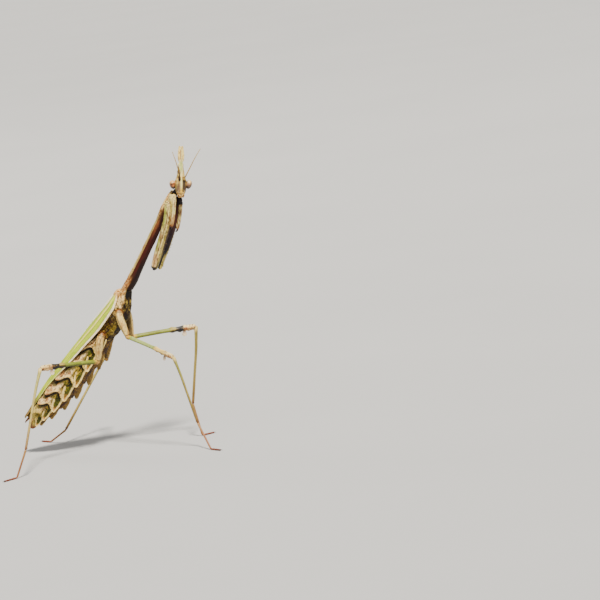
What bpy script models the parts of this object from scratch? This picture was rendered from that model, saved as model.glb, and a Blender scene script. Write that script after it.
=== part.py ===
"""Conehead mantis (genus Empusa), an adult female standing with her raptorial legs folded.

One closed solid for each named part of the body. Everything is drawn in millimetres, in the
animal's own directions: f forward, l to its left, z up. The last step scales it to metres.
"""
import math

import bmesh
import bpy
from mathutils import Matrix, Vector

# ---- Driving dimensions, millimetres and degrees -------------------------------------------
TRUNK_PITCH = 44.0            # slope of the folded wings and the abdomen
BACK_F, BACK_Z = -4.5, 27.1   # the point of the back where the trunk's stations start
PRONOTUM_PITCH = 55.3
PRONOTUM_LENGTH = 20.4
PRONOTUM_F, PRONOTUM_Z = 1.75, 31.1

HEAD_F, HEAD_L, HEAD_Z = 15.4, -0.3, 49.62
HEAD_YAW = 56.0               # turned to its right
HEAD_ROLL = 8.5               # leaning to its left
EYE_SPACING = 3.06
EYE_RADII = (0.58, 0.7, 0.84)
EYE_PLACE = (0.1, 0.05)       # out of the face and up from the head's middle
EYE_TILT = 12.0               # the upper ends lean apart

WING_THICKNESS = 0.5
WING_TURN = 84.0              # how far round the body a folded wing reaches
WING_CORNERS = 7              # across the outer face of a wing
FEELER_RADIUS = 0.25
GAP = 0.1                     # between neighbouring solids
FOOT_MIDDLE = 0.22            # height of the middle of the toes
FOOT_DEPTH = 0.33             # half their depth, so that the underside is cut flat by the ground

# Stations along the back: place, middle below the back line, half depth, half width
THORAX = (
    (-6.85, -1.5, 0.95, 1.15),
    (-5.6, -2.05, 1.30, 1.5),
    (-3.8, -2.75, 1.80, 1.85),
    (-2.0, -3.05, 2.05, 2.05),
    (0.5, -3.12, 2.05, 2.05),
    (3.0, -3.15, 2.05, 2.1),
)
MESOTHORAX_END = -1.6
ABDOMEN = (
    (3.0, -3.15, 2.05, 2.1),
    (6.6, -3.30, 2.25, 2.4),
    (10.4, -3.38, 2.38, 2.7),
    (14.3, -3.42, 2.42, 2.9),
    (18.2, -3.35, 2.25, 2.75),
    (21.5, -3.17, 1.97, 2.4),
    (24.5, -2.92, 1.50, 1.8),
    (26.7, -2.95, 1.0, 1.25),
    (28.4, -3.05, 0.45, 0.6),
)
ABDOMEN_SEGMENTS = (3.0, 6.6, 10.4, 14.3, 18.2, 21.5, 24.5, 26.7)
BELLY_LOBES = (0.6, 0.8, 1.0, 1.0, 0.95, 0.7, 0.35)
SIDE_LOBES = (0.3, 0.45, 0.55, 0.55, 0.5, 0.35, 0.25)
RING_SIDES = 18
KEEL = 0.12                   # how much narrower the belly is than the back
RIM_SWELL = 1.02              # of a segment's rear rim
LOBE_SWEEP = 0.25             # how far a lobe points rearward, as a share of its segment
BELLY_LOBE_CORNERS = (2, 16)
SIDE_LOBE_CORNERS = (6, 12)

# Tegmen stations: place, half width of the folded pair, drop of the front margin
TEGMEN = (
    (-5.3, 1.1, 0.8),
    (-4.2, 1.95, 1.8),
    (-2.4, 2.55, 2.5),
    (2.2, 2.9, 2.75),
    (7.0, 3.05, 2.4),
    (11.7, 3.1, 2.0),
    (16.5, 2.85, 1.4),
    (20.9, 2.4, 1.1),
    (24.5, 1.75, 0.8),
    (26.6, 1.2, 0.55),
    (27.5, 0.7, 0.4),
)
HINDWING = (
    (24.7, 1.25, 0.35),
    (26.5, 1.05, 0.3),
    (27.8, 0.75, 0.2),
    (28.4, 0.45, 0.1),
)
HINDWING_DROP = 0.72
# The wings bend down towards their tips, by so much between these two places
WING_DROOP, DROOP_START, DROOP_END = 0.75, 17.0, 29.5

# Pronotum stations: share of its length, half width, half depth
PRONOTUM = (
    (0.0, 1.15, 0.92),
    (0.07, 1.25, 1.08),
    (0.2, 1.02, 0.98),
    (0.5, 0.9, 0.88),
    (0.7, 0.98, 0.88),
    (0.79, 1.45, 0.95),
    (0.845, 1.8, 1.0),
    (0.9, 1.5, 1.0),
    (0.97, 1.12, 0.92),
    (1.03, 0.75, 0.7),
)

# Head stations, bottom to top: height above the eyes' middle, half width, front, back
MOUTHPARTS = (
    (-2.45, 0.28, 0.54, 0.0),
    (-2.25, 0.42, 0.64, -0.08),
    (-2.0, 0.56, 0.72, -0.2),
)
HEAD = (
    (-1.9, 0.62, 0.76, -0.25),
    (-1.4, 0.88, 0.84, -0.45),
    (-0.8, 1.04, 0.88, -0.7),
    (0.0, 1.15, 0.86, -0.85),
    (0.6, 1.13, 0.8, -0.8),
    (1.1, 0.96, 0.74, -0.65),
    (1.6, 0.78, 0.64, -0.5),
)
# The crest has a base, a pair of side points and a leaf-shaped blade with a squared tip
CREST = (
    (1.7, 0.76, 0.6, -0.46),
    (2.4, 0.64, 0.5, -0.38),
    (3.0, 0.53, 0.4, -0.32),
    (3.6, 0.5, 0.34, -0.28),
    (3.75, 0.6, 0.32, -0.27),
    (4.1, 0.4, 0.28, -0.26),
    (4.7, 0.56, 0.28, -0.26),
    (5.5, 0.63, 0.28, -0.26),
    (6.4, 0.54, 0.3, -0.24),
    (7.15, 0.4, 0.32, -0.2),
)

# Stance of the raptorial legs (f, l, z): socket, elbow under the chest, knee and tibia tip
FORELEGS = {
    "right": ((12.97, -2.0, 46.4), (8.4, -2.35, 34.5), (13.94, -1.5, 47.75), (12.92, -1.55, 42.1)),
    "left": ((11.98, 2.0, 45.7), (7.92, 2.2, 34.1), (13.8, 1.4, 46.8), (12.72, 1.45, 41.15)),
}
# Stance of the walking legs (f, l, z): socket, hip, knee, ankle, heel and toe
WALKING_LEGS = {
    "mid_right": ((-0.1, -1.95, 26.7), (1.16, -2.3, 21.95), (11.8, -6.2, 18.0),
                  (13.8, -3.7, 4.75), (16.9, -6.3, 0.3), (19.6, -7.9, 0.2)),
    "mid_left": ((-0.4, 1.95, 26.6), (-0.1, 2.3, 21.1), (11.3, 7.2, 21.45),
                 (8.8, 6.5, 6.6), (9.3, 7.8, 0.3), (10.9, 10.2, 0.2)),
    "hind_right": ((-4.25, -2.1, 22.6), (-5.5, -2.75, 17.65), (-12.0, -14.3, 19.0),
                   (-13.3, -22.6, 5.15), (-15.6, -23.1, 0.3), (-17.0, -26.0, 0.2)),
    "hind_left": ((-4.6, 2.1, 22.5), (-6.2, 2.7, 17.2), (-11.5, 14.9, 16.6),
                  (-19.8, 8.3, 2.7), (-24.3, 10.4, 0.3), (-26.9, 11.7, 0.2)),
}

# Tail feelers: start and end (place, distance from the middle, above the back line)
CERCUS = ((25.9, 1.0, -2.52), (28.1, 1.22, -2.7))

# Places in the head's directions: its left, out of the face, up
NAPE = (0.0, -0.5, -0.5)
ANTENNAE = {
    "left": ((0.48, 1.05, 1.25), (1.5, 1.28, 3.3), (2.45, 1.3, 5.2), (3.45, 1.2, 6.8)),
    "right": ((-0.34, 1.05, 1.45), (-0.75, 1.2, 3.0), (-1.25, 1.25, 4.6), (-1.9, 1.2, 6.25)),
}

# How the parts of a raptorial leg lie beside each other
FEMUR_INWARD, FEMUR_BELOW = 0.75, 0.4     # its start, from the elbow
FEMUR_PAST_KNEE = 0.3
TIBIA_START, TIBIA_AHEAD = 0.4, 0.55      # from the knee, towards its tip and forward
TARSUS_OUTWARD, TARSUS_ABOVE = 0.62, 0.3  # its start, from the tibia's tip
TARSUS_REACH = 0.72                       # share of the way back to the knee
TARSUS_END_OUTWARD, TARSUS_END_AHEAD = 0.7, -0.1
COXA_BOW, FEMUR_BOW = 0.35, 0.25          # how far their middles curve forward
SPINE = 0.25
SPINED_RINGS = (2, 9)

# Limb profiles: share of the length, half width, half depth
FORE_COXA = ((0.0, 0.4, 0.48), (0.12, 0.44, 0.54), (0.5, 0.43, 0.52), (0.85, 0.4, 0.48), (1.0, 0.36, 0.4))
FORE_FEMUR = ((0.0, 0.34, 0.34), (0.12, 0.36, 0.5), (0.22, 0.38, 0.6), (0.3, 0.4, 0.66), (0.38, 0.4, 0.72),
              (0.46, 0.4, 0.76), (0.54, 0.4, 0.78), (0.62, 0.4, 0.76), (0.7, 0.4, 0.74), (0.85, 0.4, 0.68),
              (1.0, 0.36, 0.54))
FORE_TIBIA = ((0.0, 0.34, 0.4), (0.15, 0.35, 0.4), (0.3, 0.33, 0.38), (0.45, 0.32, 0.38),
              (0.6, 0.31, 0.37), (0.75, 0.3, 0.36), (0.9, 0.28, 0.33), (1.0, 0.25, 0.28))
COXA = ((0.0, 0.45, 0.5), (0.15, 0.6, 0.72), (0.5, 0.6, 0.74), (0.8, 0.52, 0.62), (1.0, 0.38, 0.44))
FEMUR = ((0.0, 0.35, 0.35), (0.06, 0.4, 0.42), (0.16, 0.37, 0.4), (0.56, 0.34, 0.38), (0.62, 0.36, 0.5),
         (0.74, 0.33, 0.44), (0.81, 0.35, 0.5), (0.88, 0.36, 0.48), (0.96, 0.41, 0.52), (1.0, 0.33, 0.4))
TIBIA = ((0.0, 0.3, 0.35), (0.05, 0.31, 0.36), (0.15, 0.26, 0.3), (0.6, 0.25, 0.25), (1.0, 0.25, 0.25))
BASITARSUS = ((0.0, 0.25, 0.25), (1.0, 0.26, 0.25))
SHORT_TARSUS = ((0.12, 0.3), (0.6, 0.32), (1.0, 0.28))   # share of the length, half width
FORE_TARSUS = ((0.0, 0.25, 0.25), (0.5, 0.26, 0.26), (1.0, 0.25, 0.25))
CERCUS_PROFILE = ((0.0, 0.25, 0.25), (0.6, 0.32, 0.26), (1.0, 0.25, 0.25))
NECK = ((0.0, 0.5, 0.55), (0.5, 0.52, 0.58), (1.0, 0.5, 0.5))
KNEE_LOBE_RING = 6
KNEE_LOBE = 0.75
LIMB_SIDES = 8
COXA_SIDES = 10
NECK_SIDES = 12
FEELER_SIDES = 6
PRONOTUM_SIDES = 14

PAINTS = {                    # base colour and roughness
    "pale_cuticle": ((0.62, 0.55, 0.38), 0.45),
    "dark_cuticle": ((0.11, 0.045, 0.03), 0.4),
    "mottled_belly": ((0.22, 0.2, 0.07), 0.5),
    "green_tegmen": ((0.38, 0.52, 0.05), 0.4),
    "membrane_tip": ((0.5, 0.36, 0.24), 0.5),
    "eye": ((0.45, 0.22, 0.1), 0.2),
    "antenna": ((0.5, 0.36, 0.08), 0.5),
    "green_leg": ((0.33, 0.4, 0.13), 0.45),
    "khaki_leg": ((0.42, 0.36, 0.2), 0.45),
    "brown_foot": ((0.25, 0.09, 0.04), 0.5),
}

LEFT = Vector((1.0, 0.0, 0.0))
UP = Vector((0.0, 0.0, 1.0))


# ---- Frames ---------------------------------------------------------------------------------
def world(f, l, z):
    """A place in the animal's directions as a Blender point: it faces -Y and its left is +X."""
    return Vector((l, -f, z))


def axes(origin, along, across, above):
    """Matrix from local coordinates (along, across, above) to the scene."""
    matrix = Matrix((along, across, above)).transposed().to_4x4()
    matrix.translation = origin
    return matrix


def sloping(pitch):
    """Unit vectors forward along a slope and square to it, on the back's side."""
    angle = math.radians(pitch)
    forward = world(math.cos(angle), 0, math.sin(angle))
    above = world(-math.sin(angle), 0, math.cos(angle))
    return forward, above


def trunk_axes():
    forward, above = sloping(TRUNK_PITCH)
    return axes(world(BACK_F, 0, BACK_Z), -forward, LEFT, above)


def pronotum_axes():
    forward, above = sloping(PRONOTUM_PITCH)
    return axes(world(PRONOTUM_F, 0, PRONOTUM_Z), forward, LEFT, above)


def head_axes():
    """The head's left, its face's direction and its crest's direction."""
    yaw = math.radians(HEAD_YAW)
    face = world(math.cos(yaw), -math.sin(yaw), 0)
    left = world(math.sin(yaw), math.cos(yaw), 0)
    lean = Matrix.Rotation(math.radians(HEAD_ROLL), 3, -face)
    return axes(world(HEAD_F, HEAD_L, HEAD_Z), lean @ left, face, lean @ UP)


TRUNK_AXES = trunk_axes()
PRONOTUM_AXES = pronotum_axes()
HEAD_AXES = head_axes()


# ---- Solids ---------------------------------------------------------------------------------
def clear_scene():
    for thing in list(bpy.data.objects):
        bpy.data.objects.remove(thing, do_unlink=True)


def paint(name):
    """The Principled material of one finish, made once."""
    if name in bpy.data.materials:
        return bpy.data.materials[name]
    colour, roughness = PAINTS[name]
    material = bpy.data.materials.new(name)
    material.use_nodes = True
    shader = material.node_tree.nodes["Principled BSDF"]
    shader.inputs["Base Color"].default_value = (*colour, 1.0)
    shader.inputs["Roughness"].default_value = roughness
    shader.inputs["Metallic"].default_value = 0.0
    return material


def solid(name, bm, finish):
    """Turn a closed bmesh into a named object."""
    bm.normal_update()
    bmesh.ops.recalc_face_normals(bm, faces=bm.faces)
    bmesh.ops.triangulate(bm, faces=bm.faces)
    mesh = bpy.data.meshes.new(name)
    bm.to_mesh(mesh)
    bm.free()
    mesh.shade_smooth()
    mesh.set_sharp_from_angle(angle=math.radians(50))
    mesh.materials.append(paint(finish))
    thing = bpy.data.objects.new(name, mesh)
    bpy.context.scene.collection.objects.link(thing)
    return thing


def loft(name, rings, finish):
    """Join a row of rings with equal corners, and close both ends."""
    bm = bmesh.new()
    rows = [[bm.verts.new(point) for point in ring] for ring in rings]
    for row, following in zip(rows, rows[1:]):
        for i, corner in enumerate(row):
            j = (i + 1) % len(row)
            bm.faces.new((corner, row[j], following[j], following[i]))
    bm.faces.new(rows[0])
    bm.faces.new(rows[-1])
    return solid(name, bm, finish)


def oval(middle, across, above, half_width, half_depth, sides):
    """Corners of an ellipse, the first one at its lower end."""
    turn = 2 * math.pi / sides
    return [middle + across * half_width * math.sin(i * turn) - above * half_depth * math.cos(i * turn)
            for i in range(sides)]


def limb_rings(start, end, profile, across, sides=LIMB_SIDES, bow=0.0):
    """Rings of a limb segment, bowed forward; its lower side is that of each ring's first corner."""
    ahead = (end - start).normalized()
    side = (across - ahead * across.dot(ahead)).normalized()
    above = side.cross(ahead)
    if above.z < 0:
        above = -above
    rings = []
    for share, width, depth in profile:
        middle = start.lerp(end, share) + world(bow * math.sin(math.pi * share), 0, 0)
        rings.append(oval(middle, side, above, width, depth, sides))
    return rings


def between(stations, place):
    """A station read off a list by straight-line interpolation."""
    for low, high in zip(stations, stations[1:]):
        if place <= high[0]:
            share = (place - low[0]) / (high[0] - low[0])
            return tuple(a + (b - a) * share for a, b in zip(low, high))
    return stations[-1]


def largest_piece(bm):
    """Delete all but the largest connected piece of a mesh."""
    pieces = []
    waiting = set(bm.verts)
    while waiting:
        piece = set()
        edge = [waiting.pop()]
        while edge:
            vert = edge.pop()
            piece.add(vert)
            for link in vert.link_edges:
                other = link.other_vert(vert)
                if other in waiting:
                    waiting.remove(other)
                    edge.append(other)
        pieces.append(piece)
    keep = max(pieces, key=len)
    bmesh.ops.delete(bm, geom=[v for v in bm.verts if v not in keep], context="VERTS")


def carve(child, parent, gap=GAP):
    """Cut a solid back from its neighbour, leaving a thin gap between the two."""
    cutter = bpy.data.objects.new("cutter", parent.data.copy())
    bpy.context.scene.collection.objects.link(cutter)
    normals = [vertex.normal.copy() for vertex in cutter.data.vertices]
    for vertex, normal in zip(cutter.data.vertices, normals):
        vertex.co += normal * gap
    joint = child.modifiers.new("joint", "BOOLEAN")
    joint.operation = "DIFFERENCE"
    joint.solver = "EXACT"
    joint.object = cutter
    evaluated = child.evaluated_get(bpy.context.evaluated_depsgraph_get())
    carved = bpy.data.meshes.new_from_object(evaluated)
    child.modifiers.clear()
    bm = bmesh.new()
    bm.from_mesh(carved)
    largest_piece(bm)
    bm.to_mesh(carved)
    bm.free()
    child.data = carved
    bpy.data.objects.remove(cutter, do_unlink=True)


# ---- Trunk ----------------------------------------------------------------------------------
def trunk_ring(stations, place, swell=1.0):
    """A cross-section of the trunk, narrower towards the belly, first corner at the belly."""
    _, middle, depth, width = between(stations, place)
    ring = []
    for i in range(RING_SIDES):
        angle = 2 * math.pi * i / RING_SIDES
        keel = 1.0 - KEEL * math.cos(angle)
        ring.append(TRUNK_AXES @ Vector((place, width * swell * keel * math.sin(angle),
                                         middle - depth * swell * math.cos(angle))))
    return ring


def make_thorax():
    """The two segments that carry the wings and the walking legs."""
    places = [station[0] for station in THORAX]
    front = [place for place in places if place < MESOTHORAX_END - GAP]
    rear = [place for place in places if place > MESOTHORAX_END + GAP]
    mesothorax = [trunk_ring(THORAX, place) for place in front + [MESOTHORAX_END - GAP / 2]]
    metathorax = [trunk_ring(THORAX, place) for place in [MESOTHORAX_END + GAP / 2] + rear[:-1]]
    metathorax.append(trunk_ring(THORAX, rear[-1] - GAP / 2))
    return loft("mesothorax", mesothorax, "pale_cuticle"), loft("metathorax", metathorax, "mottled_belly")


def lobed_ring(start, end, belly_lobe, side_lobe):
    """The rear rim of an abdominal segment, with its corners drawn out into leafy lobes."""
    ring = trunk_ring(ABDOMEN, end - GAP / 2, swell=RIM_SWELL)
    _, middle, _, _ = between(ABDOMEN, end)
    axis = TRUNK_AXES @ Vector((end, 0, middle))
    rearward = (TRUNK_AXES.to_3x3() @ Vector((1, 0, 0))).normalized()
    length = end - start
    for corners, lobe in ((BELLY_LOBE_CORNERS, belly_lobe), (SIDE_LOBE_CORNERS, side_lobe)):
        for i in corners:
            outward = (ring[i] - axis).normalized()
            ring[i] = ring[i] + outward * lobe + rearward * lobe * length * LOBE_SWEEP
    return ring


def make_abdomen():
    """Seven segments whose rims overhang the next, and the small end segment."""
    segments = []
    for number, (start, end) in enumerate(zip(ABDOMEN_SEGMENTS, ABDOMEN_SEGMENTS[1:])):
        length = end - start
        rings = [
            trunk_ring(ABDOMEN, start + GAP / 2, swell=0.92),
            trunk_ring(ABDOMEN, start + 0.35 * length, swell=0.98),
            trunk_ring(ABDOMEN, start + 0.7 * length),
            lobed_ring(start, end, BELLY_LOBES[number], SIDE_LOBES[number]),
            trunk_ring(ABDOMEN, end - GAP / 2, swell=0.95),
        ]
        segments.append(loft(f"abdomen_{number + 1}", rings, "mottled_belly"))
    tip = ABDOMEN_SEGMENTS[-1]
    rings = [trunk_ring(ABDOMEN, tip + GAP / 2, swell=0.92), trunk_ring(ABDOMEN, (tip + ABDOMEN[-1][0]) / 2),
             trunk_ring(ABDOMEN, ABDOMEN[-1][0])]
    segments.append(loft("abdomen_tip", rings, "pale_cuticle"))
    return segments


def make_cercus(name, side):
    """A short, flattened tail feeler beside the end of the abdomen."""
    start, end = (TRUNK_AXES @ Vector((place, side * across, above)) for place, across, above in CERCUS)
    return loft(name, limb_rings(start, end, CERCUS_PROFILE, LEFT), "pale_cuticle")


def droop(place):
    """How far the wings bend down at a place, starting and ending smoothly."""
    share = min(max((place - DROOP_START) / (DROOP_END - DROOP_START), 0), 1)
    return WING_DROOP * share * share * (3 - 2 * share)


def wing_ring(place, width, drop, side, height):
    """A cross-section of one folded wing, from the middle of the back out to its front margin."""
    outer, inner = [], []
    height -= droop(place)
    for i in range(WING_CORNERS):
        angle = math.radians(WING_TURN) * i / (WING_CORNERS - 1)
        across = GAP / 2 + (width - GAP / 2) * math.sin(angle)
        below = -drop * (1 - math.cos(angle))
        lean = Vector((drop * math.sin(angle), width * math.cos(angle))).normalized()
        outer.append((across, below))
        inner.append((max(across - lean.x * WING_THICKNESS, GAP / 2), below - lean.y * WING_THICKNESS))
    return [TRUNK_AXES @ Vector((place, side * across, height + below))
            for across, below in outer + inner[::-1]]


def make_wings(name, side):
    """A tegmen, and the tip of the hindwing that shows from under it."""
    tegmen = [wing_ring(place, width, drop, side, 0.0) for place, width, drop in TEGMEN]
    hindwing = [wing_ring(place, width, drop, side, -HINDWING_DROP) for place, width, drop in HINDWING]
    return (loft(f"tegmen_{name}", tegmen, "green_tegmen"),
            loft(f"hindwing_{name}", hindwing, "membrane_tip"))


def make_pronotum():
    """The long, slender shield behind the head, widest over the raptorial legs."""
    rings = []
    across = PRONOTUM_AXES.to_3x3() @ Vector((0, 1, 0))
    above = PRONOTUM_AXES.to_3x3() @ Vector((0, 0, 1))
    for share, width, depth in PRONOTUM:
        middle = PRONOTUM_AXES @ Vector((share * PRONOTUM_LENGTH, 0, 0))
        rings.append(oval(middle, across, above, width, depth, PRONOTUM_SIDES))
    return loft("pronotum", rings, "pale_cuticle")


# ---- Head -----------------------------------------------------------------------------------
def head_ring(height, half_width, front, back, sides=16):
    """A level section of the head: x to its left, y out of its face, z towards the crest."""
    middle = HEAD_AXES @ Vector((0, (front + back) / 2, height))
    across = HEAD_AXES.to_3x3() @ Vector((1, 0, 0))
    face = HEAD_AXES.to_3x3() @ Vector((0, 1, 0))
    return oval(middle, across, -face, half_width, (front - back) / 2, sides)


def make_head(pronotum):
    """Head capsule, mouthparts, crest, eyes, feelers and the short neck behind."""
    capsule = loft("head", [head_ring(*station) for station in HEAD], "pale_cuticle")
    mouth = loft("mouthparts", [head_ring(*station, sides=10) for station in MOUTHPARTS], "pale_cuticle")
    crest = loft("crest", [head_ring(*station, sides=12) for station in CREST], "pale_cuticle")
    parts = [capsule, mouth, crest]
    for name, side in (("left", 1), ("right", -1)):
        eye = make_eye(f"eye_{name}", side)
        carve(capsule, eye, GAP / 2)
        parts.append(eye)
    parts += make_antennae(capsule, crest)
    rear = PRONOTUM_AXES @ Vector((PRONOTUM_LENGTH - 0.2, 0, 0))
    nape = HEAD_AXES @ Vector(NAPE)
    neck = loft("neck", limb_rings(rear, nape, NECK, LEFT, NECK_SIDES), "dark_cuticle")
    carve(neck, capsule)
    carve(neck, pronotum)
    return parts + [neck]


def make_eye(name, side):
    """A compound eye, egg-shaped and upright, at the side of the head."""
    bm = bmesh.new()
    bmesh.ops.create_uvsphere(bm, u_segments=14, v_segments=9, radius=1.0)
    tilt = Matrix.Rotation(math.radians(EYE_TILT * side), 4, "Y")
    place = Matrix.Translation((side * EYE_SPACING / 2, *EYE_PLACE))
    bm.transform(HEAD_AXES @ place @ tilt @ Matrix.Diagonal((*EYE_RADII, 1.0)))
    return solid(name, bm, "eye")


def make_antennae(capsule, crest):
    """Two short thread feelers, the left one swung further out."""
    feelers = []
    for name, route in ANTENNAE.items():
        points = [HEAD_AXES @ Vector(point) for point in route]
        rings = []
        for i, point in enumerate(points):
            ahead = (points[min(i + 1, len(points) - 1)] - points[max(i - 1, 0)]).normalized()
            side = ahead.cross(HEAD_AXES.to_3x3() @ Vector((0, 1, 0))).normalized()
            rings.append(oval(point, side, side.cross(ahead), FEELER_RADIUS, FEELER_RADIUS, FEELER_SIDES))
        feeler = loft(f"antenna_{name}", rings, "antenna")
        carve(feeler, capsule)
        carve(feeler, crest)
        feelers.append(feeler)
    return feelers


# ---- Legs -----------------------------------------------------------------------------------
def spined(rings, first, last, length):
    """Draw every second ring's lower corner out into a spine."""
    for i in range(first, last, 2):
        middle = sum(rings[i], Vector()) / len(rings[i])
        outward = (rings[i][0] - middle).normalized()
        rings[i][0] = rings[i][0] + outward * length
    return rings


def make_raptorial_leg(name, pronotum):
    """Coxa, spined femur, hooked tibia and thin tarsus, folded against each other."""
    socket, elbow, knee, tip = (world(*point) for point in FORELEGS[name])
    inward = LEFT if name == "right" else -LEFT
    hinge = elbow + inward * FEMUR_INWARD - UP * FEMUR_BELOW
    coxa_rings = limb_rings(socket, elbow, FORE_COXA, LEFT, COXA_SIDES, COXA_BOW)
    coxa = loft(f"fore_coxa_{name}", coxa_rings, "pale_cuticle")
    end = knee + (knee - hinge).normalized() * FEMUR_PAST_KNEE
    femur_rings = spined(limb_rings(hinge, end, FORE_FEMUR, LEFT, bow=FEMUR_BOW), *SPINED_RINGS, SPINE)
    femur = loft(f"fore_femur_{name}", femur_rings, "pale_cuticle")
    hock = knee + (tip - knee).normalized() * TIBIA_START + world(TIBIA_AHEAD, 0, 0)
    tibia = loft(f"fore_tibia_{name}", limb_rings(hock, tip, FORE_TIBIA, LEFT), "pale_cuticle")
    outward = -inward
    wrist = tip + outward * TARSUS_OUTWARD + UP * TARSUS_ABOVE
    fold = tip.lerp(knee, TARSUS_REACH) + outward * TARSUS_END_OUTWARD + world(TARSUS_END_AHEAD, 0, 0)
    tarsus = loft(f"fore_tarsus_{name}", limb_rings(wrist, fold, FORE_TARSUS, LEFT), "khaki_leg")
    carve(coxa, pronotum)
    carve(femur, coxa)
    carve(tibia, femur)
    for neighbour in (tibia, femur, coxa):
        carve(tarsus, neighbour)
    return [coxa, femur, tibia, tarsus]


def foot_rings(ankle, heel, toe, across):
    """The slender first joint down to the heel, then the short joints flat on the ground."""
    rings = limb_rings(ankle, heel + UP * FOOT_DEPTH, BASITARSUS, across)
    ahead = (toe - heel).normalized()
    side = UP.cross(ahead).normalized()
    for share, width in SHORT_TARSUS:
        middle = heel.lerp(toe, share)
        middle.z = FOOT_MIDDLE
        rings.append(oval(middle, side, UP, width, FOOT_DEPTH, LIMB_SIDES))
    for ring in rings:
        for corner in ring:
            corner.z = max(corner.z, 0.0)
    return rings


def make_walking_leg(name):
    """Coxa, lobed femur, straight tibia and a tarsus that stands on the ground."""
    socket, hip, knee, ankle, heel, toe = (world(*point) for point in WALKING_LEGS[name])
    across = (knee - hip).cross(ankle - knee).normalized()
    coxa = loft(f"{name}_coxa", limb_rings(socket, hip, COXA, LEFT, COXA_SIDES), "pale_cuticle")
    femur_rings = limb_rings(hip, knee, FEMUR, across)
    lobe = femur_rings[KNEE_LOBE_RING]
    lobe[0] = lobe[0] - UP * KNEE_LOBE
    femur = loft(f"{name}_femur", femur_rings, "green_leg")
    tibia = loft(f"{name}_tibia", limb_rings(knee, ankle, TIBIA, across), "khaki_leg")
    tarsus = loft(f"{name}_tarsus", foot_rings(ankle, heel, toe, across), "brown_foot")
    carve(femur, coxa)
    carve(tibia, femur)
    carve(tarsus, tibia)
    return [coxa, femur, tibia, tarsus]


# ---- Whole animal ---------------------------------------------------------------------------
def settle(parts):
    """Scale to metres and set the origin under the middle of the whole animal."""
    corners = [vertex.co for part in parts for vertex in part.data.vertices]
    low = [min(corner[i] for corner in corners) for i in range(3)]
    high = [max(corner[i] for corner in corners) for i in range(3)]
    shift = Matrix.Translation((-(low[0] + high[0]) / 2, -(low[1] + high[1]) / 2, -low[2]))
    for part in parts:
        part.data.transform(Matrix.Scale(0.001, 4) @ shift)


def build():
    clear_scene()
    mesothorax, metathorax = make_thorax()
    segments = make_abdomen()
    pronotum = make_pronotum()
    carve(mesothorax, pronotum)
    wings = []
    for name, side in (("left", 1), ("right", -1)):
        pair = make_wings(name, side)
        cercus = make_cercus(f"cercus_{name}", side)
        carve(cercus, segments[-1])
        carve(cercus, segments[-2])
        wings += [*pair, cercus]
    legs = []
    for name in FORELEGS:
        legs += make_raptorial_leg(name, pronotum)
    for name in WALKING_LEGS:
        leg = make_walking_leg(name)
        for body in (mesothorax, metathorax, segments[0], segments[1]):
            carve(body, leg[0])
        legs += leg
    for body in (mesothorax, metathorax, *segments):
        for wing in wings:
            if wing.name.startswith(("tegmen", "hindwing")):
                carve(body, wing)
    settle([mesothorax, metathorax, pronotum, *segments, *wings, *legs, *make_head(pronotum)])


build()
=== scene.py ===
"""Looks of the conehead mantis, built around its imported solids.

Every shape is drawn in millimetres in the animal's own directions: f forward, l to its left and z up.
A piece gathers its patches in a Shell, with a colour and a place on the surface at each point.
"""
import math
from itertools import product

import bmesh
import bpy
import numpy as np
from mathutils import Matrix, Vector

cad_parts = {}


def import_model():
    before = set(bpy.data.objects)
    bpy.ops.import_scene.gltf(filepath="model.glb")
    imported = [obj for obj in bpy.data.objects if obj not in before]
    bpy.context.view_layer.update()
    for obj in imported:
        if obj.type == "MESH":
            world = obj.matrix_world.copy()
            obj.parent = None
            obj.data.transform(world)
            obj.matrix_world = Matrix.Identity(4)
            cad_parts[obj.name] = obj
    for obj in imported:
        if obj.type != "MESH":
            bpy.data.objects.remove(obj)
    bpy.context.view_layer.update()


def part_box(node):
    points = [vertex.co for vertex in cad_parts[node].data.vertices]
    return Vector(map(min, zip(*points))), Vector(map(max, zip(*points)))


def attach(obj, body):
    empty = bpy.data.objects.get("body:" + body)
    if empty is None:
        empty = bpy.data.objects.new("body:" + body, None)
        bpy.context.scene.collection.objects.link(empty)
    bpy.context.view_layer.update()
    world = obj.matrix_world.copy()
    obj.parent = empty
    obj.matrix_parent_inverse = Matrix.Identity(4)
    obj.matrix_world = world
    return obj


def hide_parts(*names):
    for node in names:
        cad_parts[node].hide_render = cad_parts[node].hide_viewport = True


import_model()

MM = 0.001
TURN = 2 * math.pi

# ---- Driving dimensions, millimetres and degrees -------------------------------------------
TRUNK_PITCH = 44.0
BACK_F, BACK_Z = -4.5, 27.1
PRONOTUM_PITCH = 55.3
PRONOTUM_LENGTH = 20.4
PRONOTUM_F, PRONOTUM_Z = 1.75, 31.1
HEAD_F, HEAD_L, HEAD_Z = 15.4, -0.3, 49.62
HEAD_YAW = 56.0
HEAD_ROLL = 8.5
EYE_SPACING = 3.06
EYE_RADII = (0.58, 0.7, 0.84)
EYE_PLACE = (0.1, 0.05)
EYE_TILT = 12.0
HEAD_SPAN = (-2.35, 7.15)   # heights of the chin's and the crest's ends above the eyes' middle

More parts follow.
